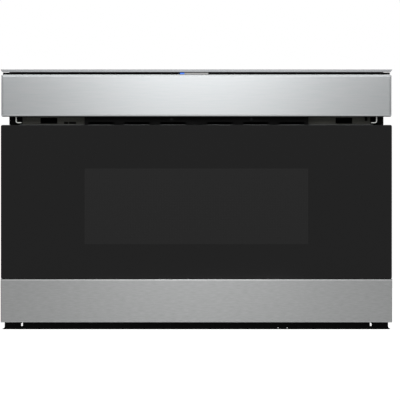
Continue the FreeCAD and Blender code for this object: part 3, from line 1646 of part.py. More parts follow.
# ---- cord gland ----
def cord_gland():
    x = -gland_offset
    seat = rear + gland_flange
    inside = rear - rear_sheet
    flange = rod_y(gland_flange_radius, rear, seat, x, gland_rise)
    nose = Part.makeCone(gland_nose_radius + gland_nose_taper / 2, gland_nose_radius - gland_nose_taper / 2,
                         gland_reach - gland_flange, point(x, seat, gland_rise), point(0, 1, 0))
    barrel = rod_y(gland_nose_radius - screw_gap, rear - gland_barrel, rear, x, gland_rise)
    nut = rod_y(gland_nut_radius, inside - gland_nut, inside, x, gland_rise)
    bore = rod_y(gland_bore_radius, rear - gland_barrel, rear + gland_reach, x, gland_rise)
    return cut(join([flange, nose, barrel, nut]), bore)


def main():
    os.makedirs("parts", exist_ok=True)
    save("door_glass", door_glass())
    save("door_trim", door_trim())
    save("door_frame", drill_door(door_frame(), web_front - 2 * overcut, choke_back))
    save("choke_cover", choke_cover())
    save("window_screen", window_screen())
    save("inner_window", inner_window())
    save("interlock_hooks", switch_hooks())
    save("basket", basket())
    save("ceramic_tray", ceramic_tray())
    save("drive_rack", drive_rack())
    save("door_arms", [drill_door(shape, choke_front, choke_back) for shape in both_sides(door_arm())])
    save("door_screws", door_screws())
    save("slide_outer_members", both_sides(slide_outer()))
    save("slide_middle_right", slide_middle())
    save("slide_middle_left", mirror_x(slide_middle()))
    save("slide_inner_members", both_sides(slide_inner()))
    save("panel_bar", panel_bar())
    save("panel_housing", panel_housing())
    save("touch_glass", touch_glass())
    save("display_window", front_light(0, display_width / 2))
    save("status_light", front_light(-light_offset, light_width / 2))
    save("hinge_pins", hinge_pins())
    save("tilt_sector", tilt_sector())
    save("tilt_pinion", tilt_pinion())
    save("tilt_motor", tilt_motor())
    save("top_trim", top_trim())
    save("header_frame", header_frame())
    save("hinge_brackets", hinge_brackets())
    save("air_grille", air_grille())
    save("support_rails", support_rails())
    save("bottom_trim", bottom_trim())
    save("front_frame", front_frame())
    save("outer_case", outer_case())
    save("rear_panel", rear_panel())
    save("base_pan", base_pan())
    save("skids", skids())
    save("case_screws", case_screws())
    save("cavity", cavity())
    save("cavity_brackets", cavity_brackets())
    save("waveguide", waveguide())
    save("antenna_cover", antenna_cover())
    save("antenna", antenna())
    save("antenna_motor", antenna_motor())
    save("magnetron", magnetron())
    save("transformer_core", transformer_core())
    save("transformer_coils", transformer_coils())
    save("hv_capacitor", hv_capacitor())
    save("power_board", power_board())
    save("cavity_lamp", [lamp_holder(), lamp_bulb()])
    save("thermal_cutouts", thermal_cutouts())
    save("drive_pinion", drive_pinion())
    save("drive_motor", drive_motor())
    save("fan_housing", fan_housing())
    save("fan_wheel", fan_wheel())
    save("fan_motor", fan_motor())
    save("interlock_switches", interlock_switches())
    for name, rise in zip(("lower_plunger", "upper_plunger"), switch_rises):
        save(name, plunger(rise))
    save("switch_bracket", switch_bracket())
    save("cord_gland", cord_gland())


main()
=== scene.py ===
import bpy
import bmesh
import json
import math
from mathutils import Matrix, Vector


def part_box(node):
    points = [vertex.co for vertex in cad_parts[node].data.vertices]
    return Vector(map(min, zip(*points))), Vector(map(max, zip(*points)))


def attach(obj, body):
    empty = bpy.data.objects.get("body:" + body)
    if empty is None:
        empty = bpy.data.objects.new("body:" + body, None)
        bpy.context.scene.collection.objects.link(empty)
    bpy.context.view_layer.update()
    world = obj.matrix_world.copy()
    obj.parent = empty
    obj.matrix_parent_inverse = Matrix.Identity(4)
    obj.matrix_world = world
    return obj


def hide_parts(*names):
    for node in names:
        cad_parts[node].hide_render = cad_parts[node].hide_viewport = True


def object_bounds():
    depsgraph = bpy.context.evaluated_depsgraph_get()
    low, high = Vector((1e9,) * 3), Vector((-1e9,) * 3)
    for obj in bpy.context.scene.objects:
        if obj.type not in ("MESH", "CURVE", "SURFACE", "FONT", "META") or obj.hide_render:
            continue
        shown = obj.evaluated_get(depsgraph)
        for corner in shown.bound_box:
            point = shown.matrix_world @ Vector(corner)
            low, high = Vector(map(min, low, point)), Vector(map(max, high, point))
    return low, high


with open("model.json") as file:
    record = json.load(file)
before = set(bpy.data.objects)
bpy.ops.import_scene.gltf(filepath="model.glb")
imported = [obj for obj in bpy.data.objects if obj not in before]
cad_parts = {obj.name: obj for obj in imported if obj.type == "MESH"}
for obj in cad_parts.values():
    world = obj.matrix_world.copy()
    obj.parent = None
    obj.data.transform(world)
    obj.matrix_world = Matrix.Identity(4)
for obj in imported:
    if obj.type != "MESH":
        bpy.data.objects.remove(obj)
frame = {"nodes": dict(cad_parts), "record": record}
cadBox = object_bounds()
mm = 0.001     # in Blender's metres
nodes = frame["nodes"]
bodyOf = {node: body for body, held in frame["record"]["behaviour"]["bodies"].items() for node in held}
slotOf = {part["node"]: part["material_slot"] for part in frame["record"]["subparts"]}
print("frame loaded:", len(nodes), "nodes")


# camera, floor and light

# the lens and the sensor are in mm, places and lengths here in metres
view = {"lens": 600.0, "sensor": 36.0, "distance": 10.32, "centreX": 0.0056, "centreZ": 0.2003,
        "reach": 60.0}
room = {"backdrop": 1.0, "fill": 0.5, "floorSize": 9.0, "floorColour": "#E4E4E3", "floorGlow": 0.70,
        "floorGloss": 0.35}
lamps = {
    "softbox": {"place": (0.0, -1.75, 0.60), "aim": (0.0, -0.33, 0.33), "size": (0.36, 0.20), "watts": 3.65},
    "stripLight": {"place": (0.0, -0.55, 0.52), "aim": (0.0, -0.33, 0.39), "size": (1.4, 0.06),
                   "watts": 1.85},
    "footlight": {"place": (0.0, -1.75, 0.028), "aim": (0.0, -0.33, 0.10), "size": (0.36, 0.045),
                  "watts": 0.18},
    "topFill": {"place": (0.0, -0.30, 2.60), "aim": (0.0, 0.0, 0.20), "size": (2.4, 2.0), "watts": 8.0},
}


def linearColour(code):
    # sRGB hex to Blender's linear colour
    channels = []
    for start in (1, 3, 5):
        value = int(code[start:start + 2], 16) / 255
        channels.append(value / 12.92 if value <= 0.04045 else ((value + 0.055) / 1.055) ** 2.4)
    return (*channels, 1.0)


def addNode(tree, kind, inputs=None, **settings):
    # a node with its settings; each socket, by name or number, is set or linked
    node = tree.nodes.new(kind)
    for name, value in settings.items():
        setattr(node, name, value)
    for name, value in (inputs or {}).items():
        if isinstance(value, bpy.types.NodeSocket):
            tree.links.new(value, node.inputs[name])
        else:
            node.inputs[name].default_value = value
    return node


def makeCamera():
    camera = bpy.data.objects.new("camera", bpy.data.cameras.new("camera"))
    camera.data.lens = view["lens"]
    camera.data.sensor_width = view["sensor"]
    camera.data.clip_end = view["reach"]
    camera.location = (view["centreX"], cadBox[0][1] - view["distance"], view["centreZ"])
    camera.rotation_euler = (math.radians(90), 0, 0)
    bpy.context.scene.collection.objects.link(camera)
    bpy.context.scene.camera = camera


def makeRoom():
    bpy.context.scene.view_settings.view_transform = "Standard"
    # white where the camera, metal or glass looks; softer where it lights matt surfaces
    world = bpy.data.worlds.new("whiteStudio")
    bpy.context.scene.world = world
    world.use_nodes = True
    tree = world.node_tree
    tree.nodes.clear()
    rays = addNode(tree, "ShaderNodeLightPath")
    seen = addNode(tree, "ShaderNodeMath",
                   {0: rays.outputs["Is Camera Ray"], 1: rays.outputs["Is Glossy Ray"]}, operation="MAXIMUM")
    seen = addNode(tree, "ShaderNodeMath", {0: seen.outputs[0], 1: rays.outputs["Is Transmission Ray"]},
                   operation="MAXIMUM")
    strength = addNode(tree, "ShaderNodeMapRange",
                       {"Value": seen.outputs[0], "To Min": room["fill"], "To Max": room["backdrop"]})
    white = addNode(tree, "ShaderNodeBackground",
                    {"Color": (1, 1, 1, 1), "Strength": strength.outputs["Result"]})
    addNode(tree, "ShaderNodeOutputWorld", {"Surface": white.outputs[0]})

    half = room["floorSize"] / 2
    floorMesh = bpy.data.meshes.new("floor")
    corners = [(-half, -half, 0), (half, -half, 0), (half, half, 0), (-half, half, 0)]
    floorMesh.from_pydata(corners, [], [(0, 1, 2, 3)])
    floor = bpy.data.objects.new("floor", floorMesh)
    bpy.context.scene.collection.objects.link(floor)
    paint, tree = newMaterial("mattWhiteFloor")
    rays = addNode(tree, "ShaderNodeLightPath")
    mirrored = addNode(tree, "ShaderNodeMath", {0: rays.outputs["Is Glossy Ray"], 1: room["floorGloss"]},
                       operation="MULTIPLY")
    glow = addNode(tree, "ShaderNodeMath", {0: rays.outputs["Is Camera Ray"], 1: room["floorGlow"],
                                            2: mirrored.outputs[0]}, operation="MULTIPLY_ADD")
    matt = addNode(tree, "ShaderNodeBsdfDiffuse", {"Color": linearColour(room["floorColour"])})
    glow = addNode(tree, "ShaderNodeEmission", {"Color": (1, 1, 1, 1), "Strength": glow.outputs[0]})
    both = addNode(tree, "ShaderNodeAddShader", {0: matt.outputs[0], 1: glow.outputs[0]})
    addNode(tree, "ShaderNodeOutputMaterial", {"Surface": both.outputs[0]})
    floorMesh.materials.append(paint)


def makeLamps():
    for name, lamp in lamps.items():
        light = bpy.data.lights.new(name, "AREA")
        light.shape = "RECTANGLE"
        light.size, light.size_y = lamp["size"]
        light.energy = lamp["watts"]
        holder = bpy.data.objects.new(name, light)
        holder.location = lamp["place"]
        aim = Vector(lamp["aim"]) - Vector(lamp["place"])
        holder.rotation_euler = aim.to_track_quat("-Z", "Y").to_euler()
        holder.visible_camera = False
        bpy.context.scene.collection.objects.link(holder)


def newMaterial(name):
    material = bpy.data.materials.new(name)
    material.use_nodes = True
    material.node_tree.nodes.clear()
    return material, material.node_tree


def grain(tree, size, detail=3.0, kind="ShaderNodeTexNoise", **settings):
    # a pattern whose features are this many millimetres along X, Y and Z
    place = addNode(tree, "ShaderNodeTexCoord")
    scale = tuple(1 / (length * mm) for length in size)
    place = addNode(tree, "ShaderNodeMapping", {"Vector": place.outputs["Object"], "Scale": scale})
    inputs = {"Vector": place.outputs["Vector"], "Scale": 1.0}
    if kind == "ShaderNodeTexNoise":
        inputs["Detail"] = detail
    return addNode(tree, kind, inputs, **settings)


patternRange = (0.3, 0.7)     # the stretch of a pattern's values that is spread over the two tones


def surface(tree, pattern, finish, shade=None, tangent=None):
    # the pattern spreads the colour between two tones and the roughness between two values
    # relief is the depth of the pattern in mm, shade multiplies the tones, and sockets go to the shader
    tone = addNode(tree, "ShaderNodeMapRange", {"Value": pattern, "From Min": patternRange[0],
                                                "From Max": patternRange[1]})
    colour = addNode(tree, "ShaderNodeMix", {0: tone.outputs["Result"], 6: linearColour(finish["tones"][0]),
                                             7: linearColour(finish["tones"][1])}, data_type="RGBA")
    if shade:
        colour = addNode(tree, "ShaderNodeMix", {0: 1.0, 6: colour.outputs[2], 7: shade}, data_type="RGBA",
                         blend_type="MULTIPLY")
    smooth, dull = finish["roughness"]
    rough = addNode(tree, "ShaderNodeMapRange",
                    {"Value": tone.outputs["Result"], "To Min": smooth, "To Max": dull})
    inputs = {"Base Color": colour.outputs[2], "Roughness": rough.outputs["Result"]}
    if "relief" in finish:
        bump = addNode(tree, "ShaderNodeBump", {"Height": pattern, "Distance": finish["relief"] * mm,
                                                "Strength": 1.0})
        inputs["Normal"] = bump.outputs["Normal"]
    if tangent:
        inputs["Tangent"] = tangent
    inputs.update(finish.get("sockets", {}))
    shader = addNode(tree, "ShaderNodeBsdfPrincipled", inputs)
    addNode(tree, "ShaderNodeOutputMaterial", {"Surface": shader.outputs[0]})


# finishes

brushing = {"Metallic": 1.0, "Anisotropic": 0.6, "Anisotropic Rotation": 0.25}
# paintedEdgeBands: a height in mm and a factor on the tones; dark bands are painted shade and bright ones a
# painted highlight along the edges
stainless = {
    "panel_bar": {"tones": ("#838687", "#88898A"), "roughness": (0.32, 0.34), "relief": 0.001,
                  "grain": (34.0, 1.3, 1.3), "detail": 4.0, "sockets": brushing,
                  "paintedEdgeBands": ((0.0, 0.25), (1.4, 1.9), (3.0, 1.0), (-3.0, 0.75))},
    "door_trim": {"tones": ("#808181", "#8A8B8B"), "roughness": (0.31, 0.34), "relief": 0.002,
                  "grain": (10.0, 1.4, 1.4), "detail": 4.0, "sockets": brushing,
                  "paintedEdgeBands": ((0.0, 1.3), (1.6, 1.0), (-2.6, 1.6), (-1.2, 0.3))},
}


def paintedEdgeLight(tree, node, paintedEdgeBands):
    # painted light along the folded top and bottom edges: bands that multiply the tones, painted shade where
    # under 1 and painted highlight where over 1 each step is a height in mm, a negative one from the top,
    # and the factor from there up
    low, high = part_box(node)
    tall = (high.z - low.z) / mm
    steps = [(rise % tall, shade) for rise, shade in paintedEdgeBands]
    place = addNode(tree, "ShaderNodeTexCoord")
    axes = addNode(tree, "ShaderNodeSeparateXYZ", {0: place.outputs["Object"]})
    height = addNode(tree, "ShaderNodeMapRange",
                     {"Value": axes.outputs["Z"], "From Min": low.z, "From Max": high.z})
    ramp = addNode(tree, "ShaderNodeValToRGB", {0: height.outputs["Result"]})
    ramp.color_ramp.interpolation = "CONSTANT"
    while len(ramp.color_ramp.elements) < len(steps):
        ramp.color_ramp.elements.new(0.5)
    for element, (rise, shade) in zip(ramp.color_ramp.elements, steps):
        element.position = rise / tall
        element.color = (shade, shade, shade, 1.0)
    return ramp.outputs["Color"]


def brushedStainless(name, node):
    # rolled and belt-brushed along X: long fine lines, a highlight drawn out across them
    # brushing is 0.1 mm apart, drawn at 1.3 mm and more so that it shows
    material, tree = newMaterial(name)
    brushed = stainless[node]
    lines = grain(tree, brushed["grain"], brushed["detail"])
    along = addNode(tree, "ShaderNodeTangent", direction_type="RADIAL", axis="Z")
    # the edge bands paint highlight and shade into the colour
    surface(tree, lines.outputs["Fac"], brushed, paintedEdgeLight(tree, node, brushed["paintedEdgeBands"]),
            along.outputs["Tangent"])
    return material


trim = {"tones": ("#6E7072", "#7A7B7D"), "roughness": (0.36, 0.44), "relief": 0.003,
        "grain": (50.0, 1.2, 1.2), "sockets": {"Metallic": 1.0}}


def satinTrim():
    # extruded aluminium, satin and clear anodised: a shade darker and softer than the steel
    # its die lines are finer, drawn 1.2 mm apart so that they show
    material, tree = newMaterial("satinAnodisedAluminium")
    lines = grain(tree, trim["grain"])
    surface(tree, lines.outputs["Fac"], trim)
    return material


# the ior is under the 1.52 of glass, matched to how little this front mirrors
glass = {"paint": "#030303", "paintHaze": "#050505", "windowDark": "#0C0C0C", "windowLight": "#191919",
         "haze": (160.0, 160.0, 160.0), "hazeDetail": 1.0, "smear": (0.03, 0.07), "ior": 1.285,
         "dotPitch": 4.0, "screenRim": 8.0}


def windowArea():
    # the lighter window in the drawer's glass: for X and Z, its middle and half its width
    low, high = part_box("window_screen")
    rim = glass["screenRim"] * mm
    return [(axis, (low[axis] + high[axis]) / 2, (high[axis] - low[axis]) / 2 - rim) for axis in (0, 2)]


def toughenedGlass(name, window=None):
    # float glass with black ceramic paint fired on its back: a deep flat gloss
    # a window's printed dots are 1 mm apart, drawn at 4 mm, and read as a faint lighter field
    material, tree = newMaterial(name)
    haze = grain(tree, glass["haze"], glass["hazeDetail"])
    paint = addNode(tree, "ShaderNodeMix", {0: haze.outputs["Fac"], 6: linearColour(glass["paint"]),
                                            7: linearColour(glass["paintHaze"])}, data_type="RGBA")
    colour = paint.outputs[2]
    if window:
        dots = grain(tree, (glass["dotPitch"],) * 3, kind="ShaderNodeTexVoronoi")
        dots.inputs["Randomness"].default_value = 0.0
        printed = addNode(tree, "ShaderNodeMix",
                          {0: dots.outputs["Distance"], 6: linearColour(glass["windowLight"]),
                           7: linearColour(glass["windowDark"])}, data_type="RGBA")
        place = addNode(tree, "ShaderNodeTexCoord")
        axes = addNode(tree, "ShaderNodeSeparateXYZ", {0: place.outputs["Object"]})
        inside = None
        for axis, middle, half in window:
            off = addNode(tree, "ShaderNodeMath", {0: axes.outputs[axis], 1: middle}, operation="SUBTRACT")
            off = addNode(tree, "ShaderNodeMath", {0: off.outputs[0]}, operation="ABSOLUTE")
            near = addNode(tree, "ShaderNodeMath", {0: off.outputs[0], 1: half}, operation="LESS_THAN")
            if inside:
                near = addNode(tree, "ShaderNodeMath", {0: near.outputs[0], 1: inside.outputs[0]},
                               operation="MULTIPLY")
            inside = near
        colour = addNode(tree, "ShaderNodeMix", {0: inside.outputs[0], 6: colour, 7: printed.outputs[2]},
                         data_type="RGBA").outputs[2]
    smear = addNode(tree, "ShaderNodeMapRange", {"Value": haze.outputs["Fac"], "To Min": glass["smear"][0],
                                                 "To Max": glass["smear"][1]})
    shader = addNode(tree, "ShaderNodeBsdfPrincipled",
                     {"Base Color": colour, "Roughness": smear.outputs["Result"], "IOR": glass["ior"]})
    addNode(tree, "ShaderNodeOutputMaterial", {"Surface": shader.outputs[0]})
    return material


touch = {"tones": ("#010101", "#020202"), "roughness": (0.16, 0.22), "grain": (2.0, 2.0, 2.0),
         "detail": 4.0, "sockets": {"Specular IOR Level": 0.03}}


def touchGlass():
    # toughened glass painted black on its back and edges, with an etched, reflection-free skin
    # the etching is too fine to see, drawn at 2 mm
    material, tree = newMaterial("etchedBlackTouchGlass")
    skin = grain(tree, touch["grain"], touch["detail"])
    surface(tree, skin.outputs["Fac"], touch)
    return material


clearPane = {"tones": ("#EAF3EF", "#F4FAF7"), "roughness": (0.02, 0.05), "grain": (90.0, 90.0, 90.0),
             "detail": 1.0, "sockets": {"IOR": 1.5, "Transmission Weight": 1.0}}


def clearGlass():
    # heat-strengthened clear glass, faintly green
    material, tree = newMaterial("clearHeatStrengthenedGlass")
    haze = grain(tree, clearPane["grain"], clearPane["detail"])
    surface(tree, haze.outputs["Fac"], clearPane)
    return material


powder = {"tones": ("#020202", "#050505"), "roughness": (0.42, 0.55), "relief": 0.02,
          "grain": (1.6, 1.6, 1.6), "sockets": {"Specular IOR Level": 0.03}}


def powderCoat():
    # steel with black powder coat: low sheen and a faint orange peel
    material, tree = newMaterial("blackPowderCoat")
    peel = grain(tree, powder["grain"])
    surface(tree, peel.outputs["Fac"], powder)
    return material


moulding = {"tones": ("#0D0D0E", "#151516"), "roughness": (0.5, 0.64), "relief": 0.02,
            "grain": (0.9, 0.9, 0.9), "detail": 4.0, "sockets": {"Specular IOR Level": 0.2}}


def blackAbs():
    # injection-moulded ABS with a spark-eroded texture: dull, slightly grey black
    # the pits of the texture are finer, drawn at 0.9 mm so that they show
    material, tree = newMaterial("mouldedBlackAbs")
    spark = grain(tree, moulding["grain"], moulding["detail"])
    surface(tree, spark.outputs["Fac"], moulding)
    return material


nylonBlack = {"tones": ("#050505", "#090909"), "roughness": (0.5, 0.62), "relief": 0.01,
              "grain": (14.0, 14.0, 5.0), "sockets": {"Specular IOR Level": 0.1}}


def blackPolyamide():
    # glass-filled polyamide of the grille and the tilt gears: deep matt black with faint flow marks
    material, tree = newMaterial("glassFilledBlackPolyamide")
    flow = grain(tree, nylonBlack["grain"])
    surface(tree, flow.outputs["Fac"], nylonBlack)
    return material


screenEnamel = {"tones": ("#121212", "#1E1E1E"), "roughness": (0.35, 0.5), "grain": (1.2, 1.2, 1.2)}


def screenSteel():
    # perforated steel, black enamelled: dark grey with a soft sheen, faintly speckled
    material, tree = newMaterial("blackEnamelledScreen")
    speck = grain(tree, screenEnamel["grain"])
    surface(tree, speck.outputs["Fac"], screenEnamel)
    return material


acetal = {"tones": ("#A7A7A2", "#B3B3AE"), "roughness": (0.35, 0.48), "relief": 0.005,
          "grain": (10.0, 10.0, 10.0), "sockets": {"Subsurface Weight": 0.05, "Subsurface Scale": 0.002}}


def greyAcetal():
    # natural grey acetal of the drive pinion, the rack and the interlock hooks: waxy, a little translucent
    material, tree = newMaterial("mouldedGreyAcetal")
    flow = grain(tree, acetal["grain"])
    surface(tree, flow.outputs["Fac"], acetal)
    return material


polymer = {"tones": ("#9FA0A0", "#A9AAAA"), "roughness": (0.4, 0.52), "relief": 0.015,
           "grain": (1.4, 1.4, 1.4), "detail": 4.0}


def basketPolymer():
    # heat-proof polymer basket, moulded with a satin skin
    material, tree = newMaterial("mouldedSatinPolymer")
    skin = grain(tree, polymer["grain"], polymer["detail"])
    surface(tree, skin.outputs["Fac"], polymer)
    return material


ceramic = {"tones": ("#D6D4CD", "#E2E0DA"), "roughness": (0.12, 0.2), "relief": 0.004,
           "grain": (2.5, 2.5, 2.5), "detail": 5.0, "sockets": {"IOR": 1.52, "Coat Weight": 0.4}}


def glazedCeramic():
    # white glass-ceramic, glazed: clean gloss over a body with faint specks
    material, tree = newMaterial("glazedWhiteCeramic")
    specks = grain(tree, ceramic["grain"], ceramic["detail"])
    surface(tree, specks.outputs["Fac"], ceramic)
    return material


# the dark tones of the rails are painted shade
railPaintedShade = {"tones": ("#4A4A46", "#5B5B56"), "roughness": (0.45, 0.6), "relief": 0.01,
             "grain": (1.6, 1.6, 1.6), "detail": 5.0, "sockets": {"Metallic": 0.9}}


def railSteelWithPaintedShade():
    # steel of the support rails: dull, with a fine crystal grain; its dark warm grey is painted shade, for
    # the shade of the gap it sits in
    # the crystals are too fine to see, drawn at 1.6 mm
    material, tree = newMaterial("darkRailSteelPaintedShade")
    crystals = grain(tree, railPaintedShade["grain"], railPaintedShade["detail"])
    surface(tree, crystals.outputs["Fac"], railPaintedShade)
    return material


zinc = {"tones": ("#A9ABAA", "#C3C4BF"), "roughness": (0.24, 0.38), "grain": (18.0, 18.0, 18.0),
        "detail": 4.0, "sockets": {"Metallic": 1.0}}


def zincPlate():
    # pressed steel with bright zinc: silvery, cloudy where the passivation varies
    material, tree = newMaterial("brightZincPlate")
    cloud = grain(tree, zinc["grain"], zinc["detail"])
    surface(tree, cloud.outputs["Fac"], zinc)
    return material


screws = {"tones": ("#E6E6E6", "#FFFFFF"), "roughness": (0.26, 0.38), "grain": (3.0, 3.0, 3.0),
          "sockets": {"Metallic": 1.0}, "blackFor": 60.0, "black": "#222223", "zinc": "#B4B6B4"}


def screwSteel():
    # zinc-plated screws; the ones near the front are black-oxide, to stay unseen in the gap
    material, tree = newMaterial("platedScrewSteel")
    place = addNode(tree, "ShaderNodeTexCoord")
    axes = addNode(tree, "ShaderNodeSeparateXYZ", {0: place.outputs["Object"]})
    rear = addNode(tree, "ShaderNodeMath", {0: axes.outputs["Y"], 1: cadBox[0][1] + screws["blackFor"] * mm},
                   operation="GREATER_THAN")
    colour = addNode(tree, "ShaderNodeMix", {0: rear.outputs[0], 6: linearColour(screws["black"]),
                                             7: linearColour(screws["zinc"])}, data_type="RGBA")
    cloud = grain(tree, screws["grain"])
    surface(tree, cloud.outputs["Fac"], screws, colour.outputs[2])
    return material


nickel = {"tones": ("#B7B4AE", "#C9C6C0"), "roughness": (0.14, 0.22), "grain": (0.6, 0.6, 8.0),
          "sockets": {"Metallic": 1.0}}


def nickelSteel():
    # turned steel, nickel plated: bright with fine turning marks, drawn coarser than they are
    material, tree = newMaterial("nickelPlatedSteel")
    turns = grain(tree, nickel["grain"])
    surface(tree, turns.outputs["Fac"], nickel)
    return material


can = {"tones": ("#6A6D6F", "#7D8082"), "roughness": (0.38, 0.52), "grain": (6.0, 6.0, 6.0), "detail": 5.0,
       "sockets": {"Metallic": 0.85}}


def motorCan():
    # deep-drawn steel can, phosphated: a dull, cloudy mid grey
    material, tree = newMaterial("phosphatedSteelCan")
    cloud = grain(tree, can["grain"], can["detail"])
    surface(tree, cloud.outputs["Fac"], can)
    return material


galvanised = {"tones": ("#ADB0B1", "#BEC1C2"), "roughness": (0.58, 0.7), "crystal": (9.0, 9.0, 9.0),
              "frost": (1.5, 1.5, 1.5), "frostShare": 0.35, "sockets": {"Metallic": 0.8}}


def galvanisedSheet():
    # hot-dip galvanised steel: zinc crystals about 9 mm across, each its own tone, under a finer frost
    material, tree = newMaterial("hotDipGalvanisedSheet")
    crystals = grain(tree, galvanised["crystal"], kind="ShaderNodeTexVoronoi")
    tone = addNode(tree, "ShaderNodeSeparateColor", {0: crystals.outputs["Color"]})
    frost = grain(tree, galvanised["frost"])
    both = addNode(tree, "ShaderNodeMix",
                   {0: galvanised["frostShare"], 2: tone.outputs[0], 3: frost.outputs["Fac"]})
    surface(tree, both.outputs[0], galvanised)
    return material


enamel = {"tones": ("#A3A29D", "#B9B8B3"), "roughness": (0.22, 0.32), "relief": 0.006,
          "grain": (1.8, 1.8, 1.8), "detail": 5.0, "sockets": {"Coat Weight": 0.3}}


def cavityEnamel():
    # porcelain enamel fired on steel: grey with fine dark flecks and a soft gloss
    material, tree = newMaterial("greyPorcelainEnamel")
    flecks = grain(tree, enamel["grain"], enamel["detail"])
    surface(tree, flecks.outputs["Fac"], enamel)
    return material


casting = {"tones": ("#ABADAE", "#BDBFC0"), "roughness": (0.35, 0.5), "relief": 0.015,
           "grain": (2.2, 2.2, 2.2), "detail": 5.0, "sockets": {"Metallic": 1.0}}


def castAluminium():
    # die-cast aluminium: dull silver with a fine casting skin, drawn at 2.2 mm so that it shows
    material, tree = newMaterial("dieCastAluminium")
    skin = grain(tree, casting["grain"], casting["detail"])
    surface(tree, skin.outputs["Fac"], casting)
    return material


core = {"tones": ("#2A2725", "#45423F"), "roughness": (0.35, 0.5), "relief": 0.05,
        "grain": (60.0, 2.0, 60.0), "sockets": {"Metallic": 0.6, "Coat Weight": 0.3}}


def laminatedCore():
    # varnished stack of 0.5 mm electrical steel: dark brown-grey lines, drawn 2 mm apart to show
    material, tree = newMaterial("varnishedLaminations")
    sheets = grain(tree, core["grain"])
    surface(tree, sheets.outputs["Fac"], core)
    return material


copper = {"tones": ("#6E2F14", "#A5562C"), "roughness": (0.25, 0.35), "relief": 0.3,
          "grain": (2.0, 2.0, 2.0), "sockets": {"Metallic": 0.7, "Coat Weight": 0.5}}


def enamelledCopper():
    # enamelled copper wire wound round the core: glossy red-brown turns
    # the wire is 1 mm across, drawn at 2 mm so that it shows
    material, tree = newMaterial("enamelledCopperWinding")
    turns = grain(tree, copper["grain"], kind="ShaderNodeTexWave", bands_direction="Z")
    surface(tree, turns.outputs["Fac"], copper)
    return material


board = {"tones": ("#0F4A28", "#1B6236"), "roughness": (0.25, 0.4), "relief": 0.02,
         "grain": (7.0, 7.0, 7.0)}


def solderMask():
    # glass-epoxy board under green solder mask, the copper showing through as broad tracks
    material, tree = newMaterial("greenSolderMask")
    tracks = grain(tree, board["grain"], kind="ShaderNodeTexVoronoi", distance="MANHATTAN")
    surface(tree, tracks.outputs["Distance"], board)
    return material


frosted = {"tones": ("#DAD6CC", "#E7E4DC"), "roughness": (0.3, 0.45), "grain": (1.5, 1.5, 1.5)}


def lampGlass():
    # frosted lamp glass and its steatite holder: a soft warm white
    # the frosting is too fine to see, drawn at 1.5 mm
    material, tree = newMaterial("frostedLampGlass")
    frost = grain(tree, frosted["grain"])
    surface(tree, frost.outputs["Fac"], frosted)
    return material


polyester = {"tones": ("#1A1A1A", "#242424"), "roughness": (0.35, 0.46), "relief": 0.01,
             "grain": (1.0, 1.0, 1.0)}


def switchPolyester():
    # moulded polyester of the microswitches: smooth, dull black
    material, tree = newMaterial("mouldedBlackPolyester")
    skin = grain(tree, polyester["grain"])
    surface(tree, skin.outputs["Fac"], polyester)
    return material


plunger = {"tones": ("#A3201B", "#B52A22"), "roughness": (0.3, 0.42), "relief": 0.005,
           "grain": (2.0, 2.0, 2.0)}


def plungerRed():
    # moulded acetal of the switch plungers: smooth, plain red
    material, tree = newMaterial("mouldedRedAcetal")
    skin = grain(tree, plunger["grain"])
    surface(tree, skin.outputs["Fac"], plunger)
    return material


# the grey window's glow is painted light: it has no lamp behind it
lit = {"blue": "#0A56B8", "blueGlow": 0.5, "grey": "#737373", "greyPaintedGlow": 0.20, "cloud": (3.0, 3.0, 1.0),
       "cloudDetail": 2.0, "spread": (0.85, 1.1), "roughness": 0.3, "ior": 1.49}


def litPlastic(name, colour, glow):
    # moulded acrylic lens, slightly cloudy: the blue one has a lamp behind it and a dim glow; the grey
    # window has none, and its glow is painted light
    material, tree = newMaterial(name)
    cloud = grain(tree, lit["cloud"], lit["cloudDetail"])
    tone = addNode(tree, "ShaderNodeMapRange", {"Value": cloud.outputs["Fac"], "To Min": lit["spread"][0],
                                                "To Max": lit["spread"][1]})
    colour = addNode(tree, "ShaderNodeVectorMath",
                     {0: linearColour(colour)[:3], "Scale": tone.outputs["Result"]}, operation="SCALE")
    shader = addNode(tree, "ShaderNodeBsdfPrincipled",
                     {"Base Color": colour.outputs[0], "Emission Color": colour.outputs[0],
                      "Roughness": lit["roughness"], "IOR": lit["ior"], "Emission Strength": glow})
    addNode(tree, "ShaderNodeOutputMaterial", {"Surface": shader.outputs[0]})
    return material


ink = {"tones": ("#B4B5B6", "#C2C3C4"), "roughness": (0.5, 0.6), "grain": (0.8, 0.8, 0.8)}


def printInk():
    # screen-printed ceramic ink on the touch glass: pale grey, matt
    material, tree = newMaterial("screenPrintedInk")
    skin = grain(tree, ink["grain"])
    surface(tree, skin.outputs["Fac"], ink)
    return material


# each node keeps its own shape; its sharp edges get a small bevel so that they catch the light
# widths in mm, angles in degrees

edges = {"width": 0.35, "sheetWidth": 0.18, "glassWidth": 0.1, "segments": 2, "angle": 40.0, "weld": 0.001,
         "flatAngle": 0.05}


def dressNode(node, material, width):
    piece = nodes[node]
    for slot in piece.material_slots:
        slot.material = material
    if not piece.material_slots:
        piece.data.materials.append(material)
    weld = piece.modifiers.new("weld", "WELD")
    weld.merge_threshold = edges["weld"] * mm
    flat = piece.modifiers.new("flat", "DECIMATE")
    flat.decimate_type = "DISSOLVE"
    flat.angle_limit = math.radians(edges["flatAngle"])
    bevel = piece.modifiers.new("bevel", "BEVEL")
    bevel.width = width * mm
    bevel.segments = edges["segments"]
    bevel.limit_method = "ANGLE"
    bevel.angle_limit = math.radians(edges["angle"])
    bevel.use_clamp_overlap = True
    normals = piece.modifiers.new("normals", "WEIGHTED_NORMAL")
    normals.keep_sharp = True


makeCamera()
makeRoom()
makeLamps()
print("camera, floor and lamps set")

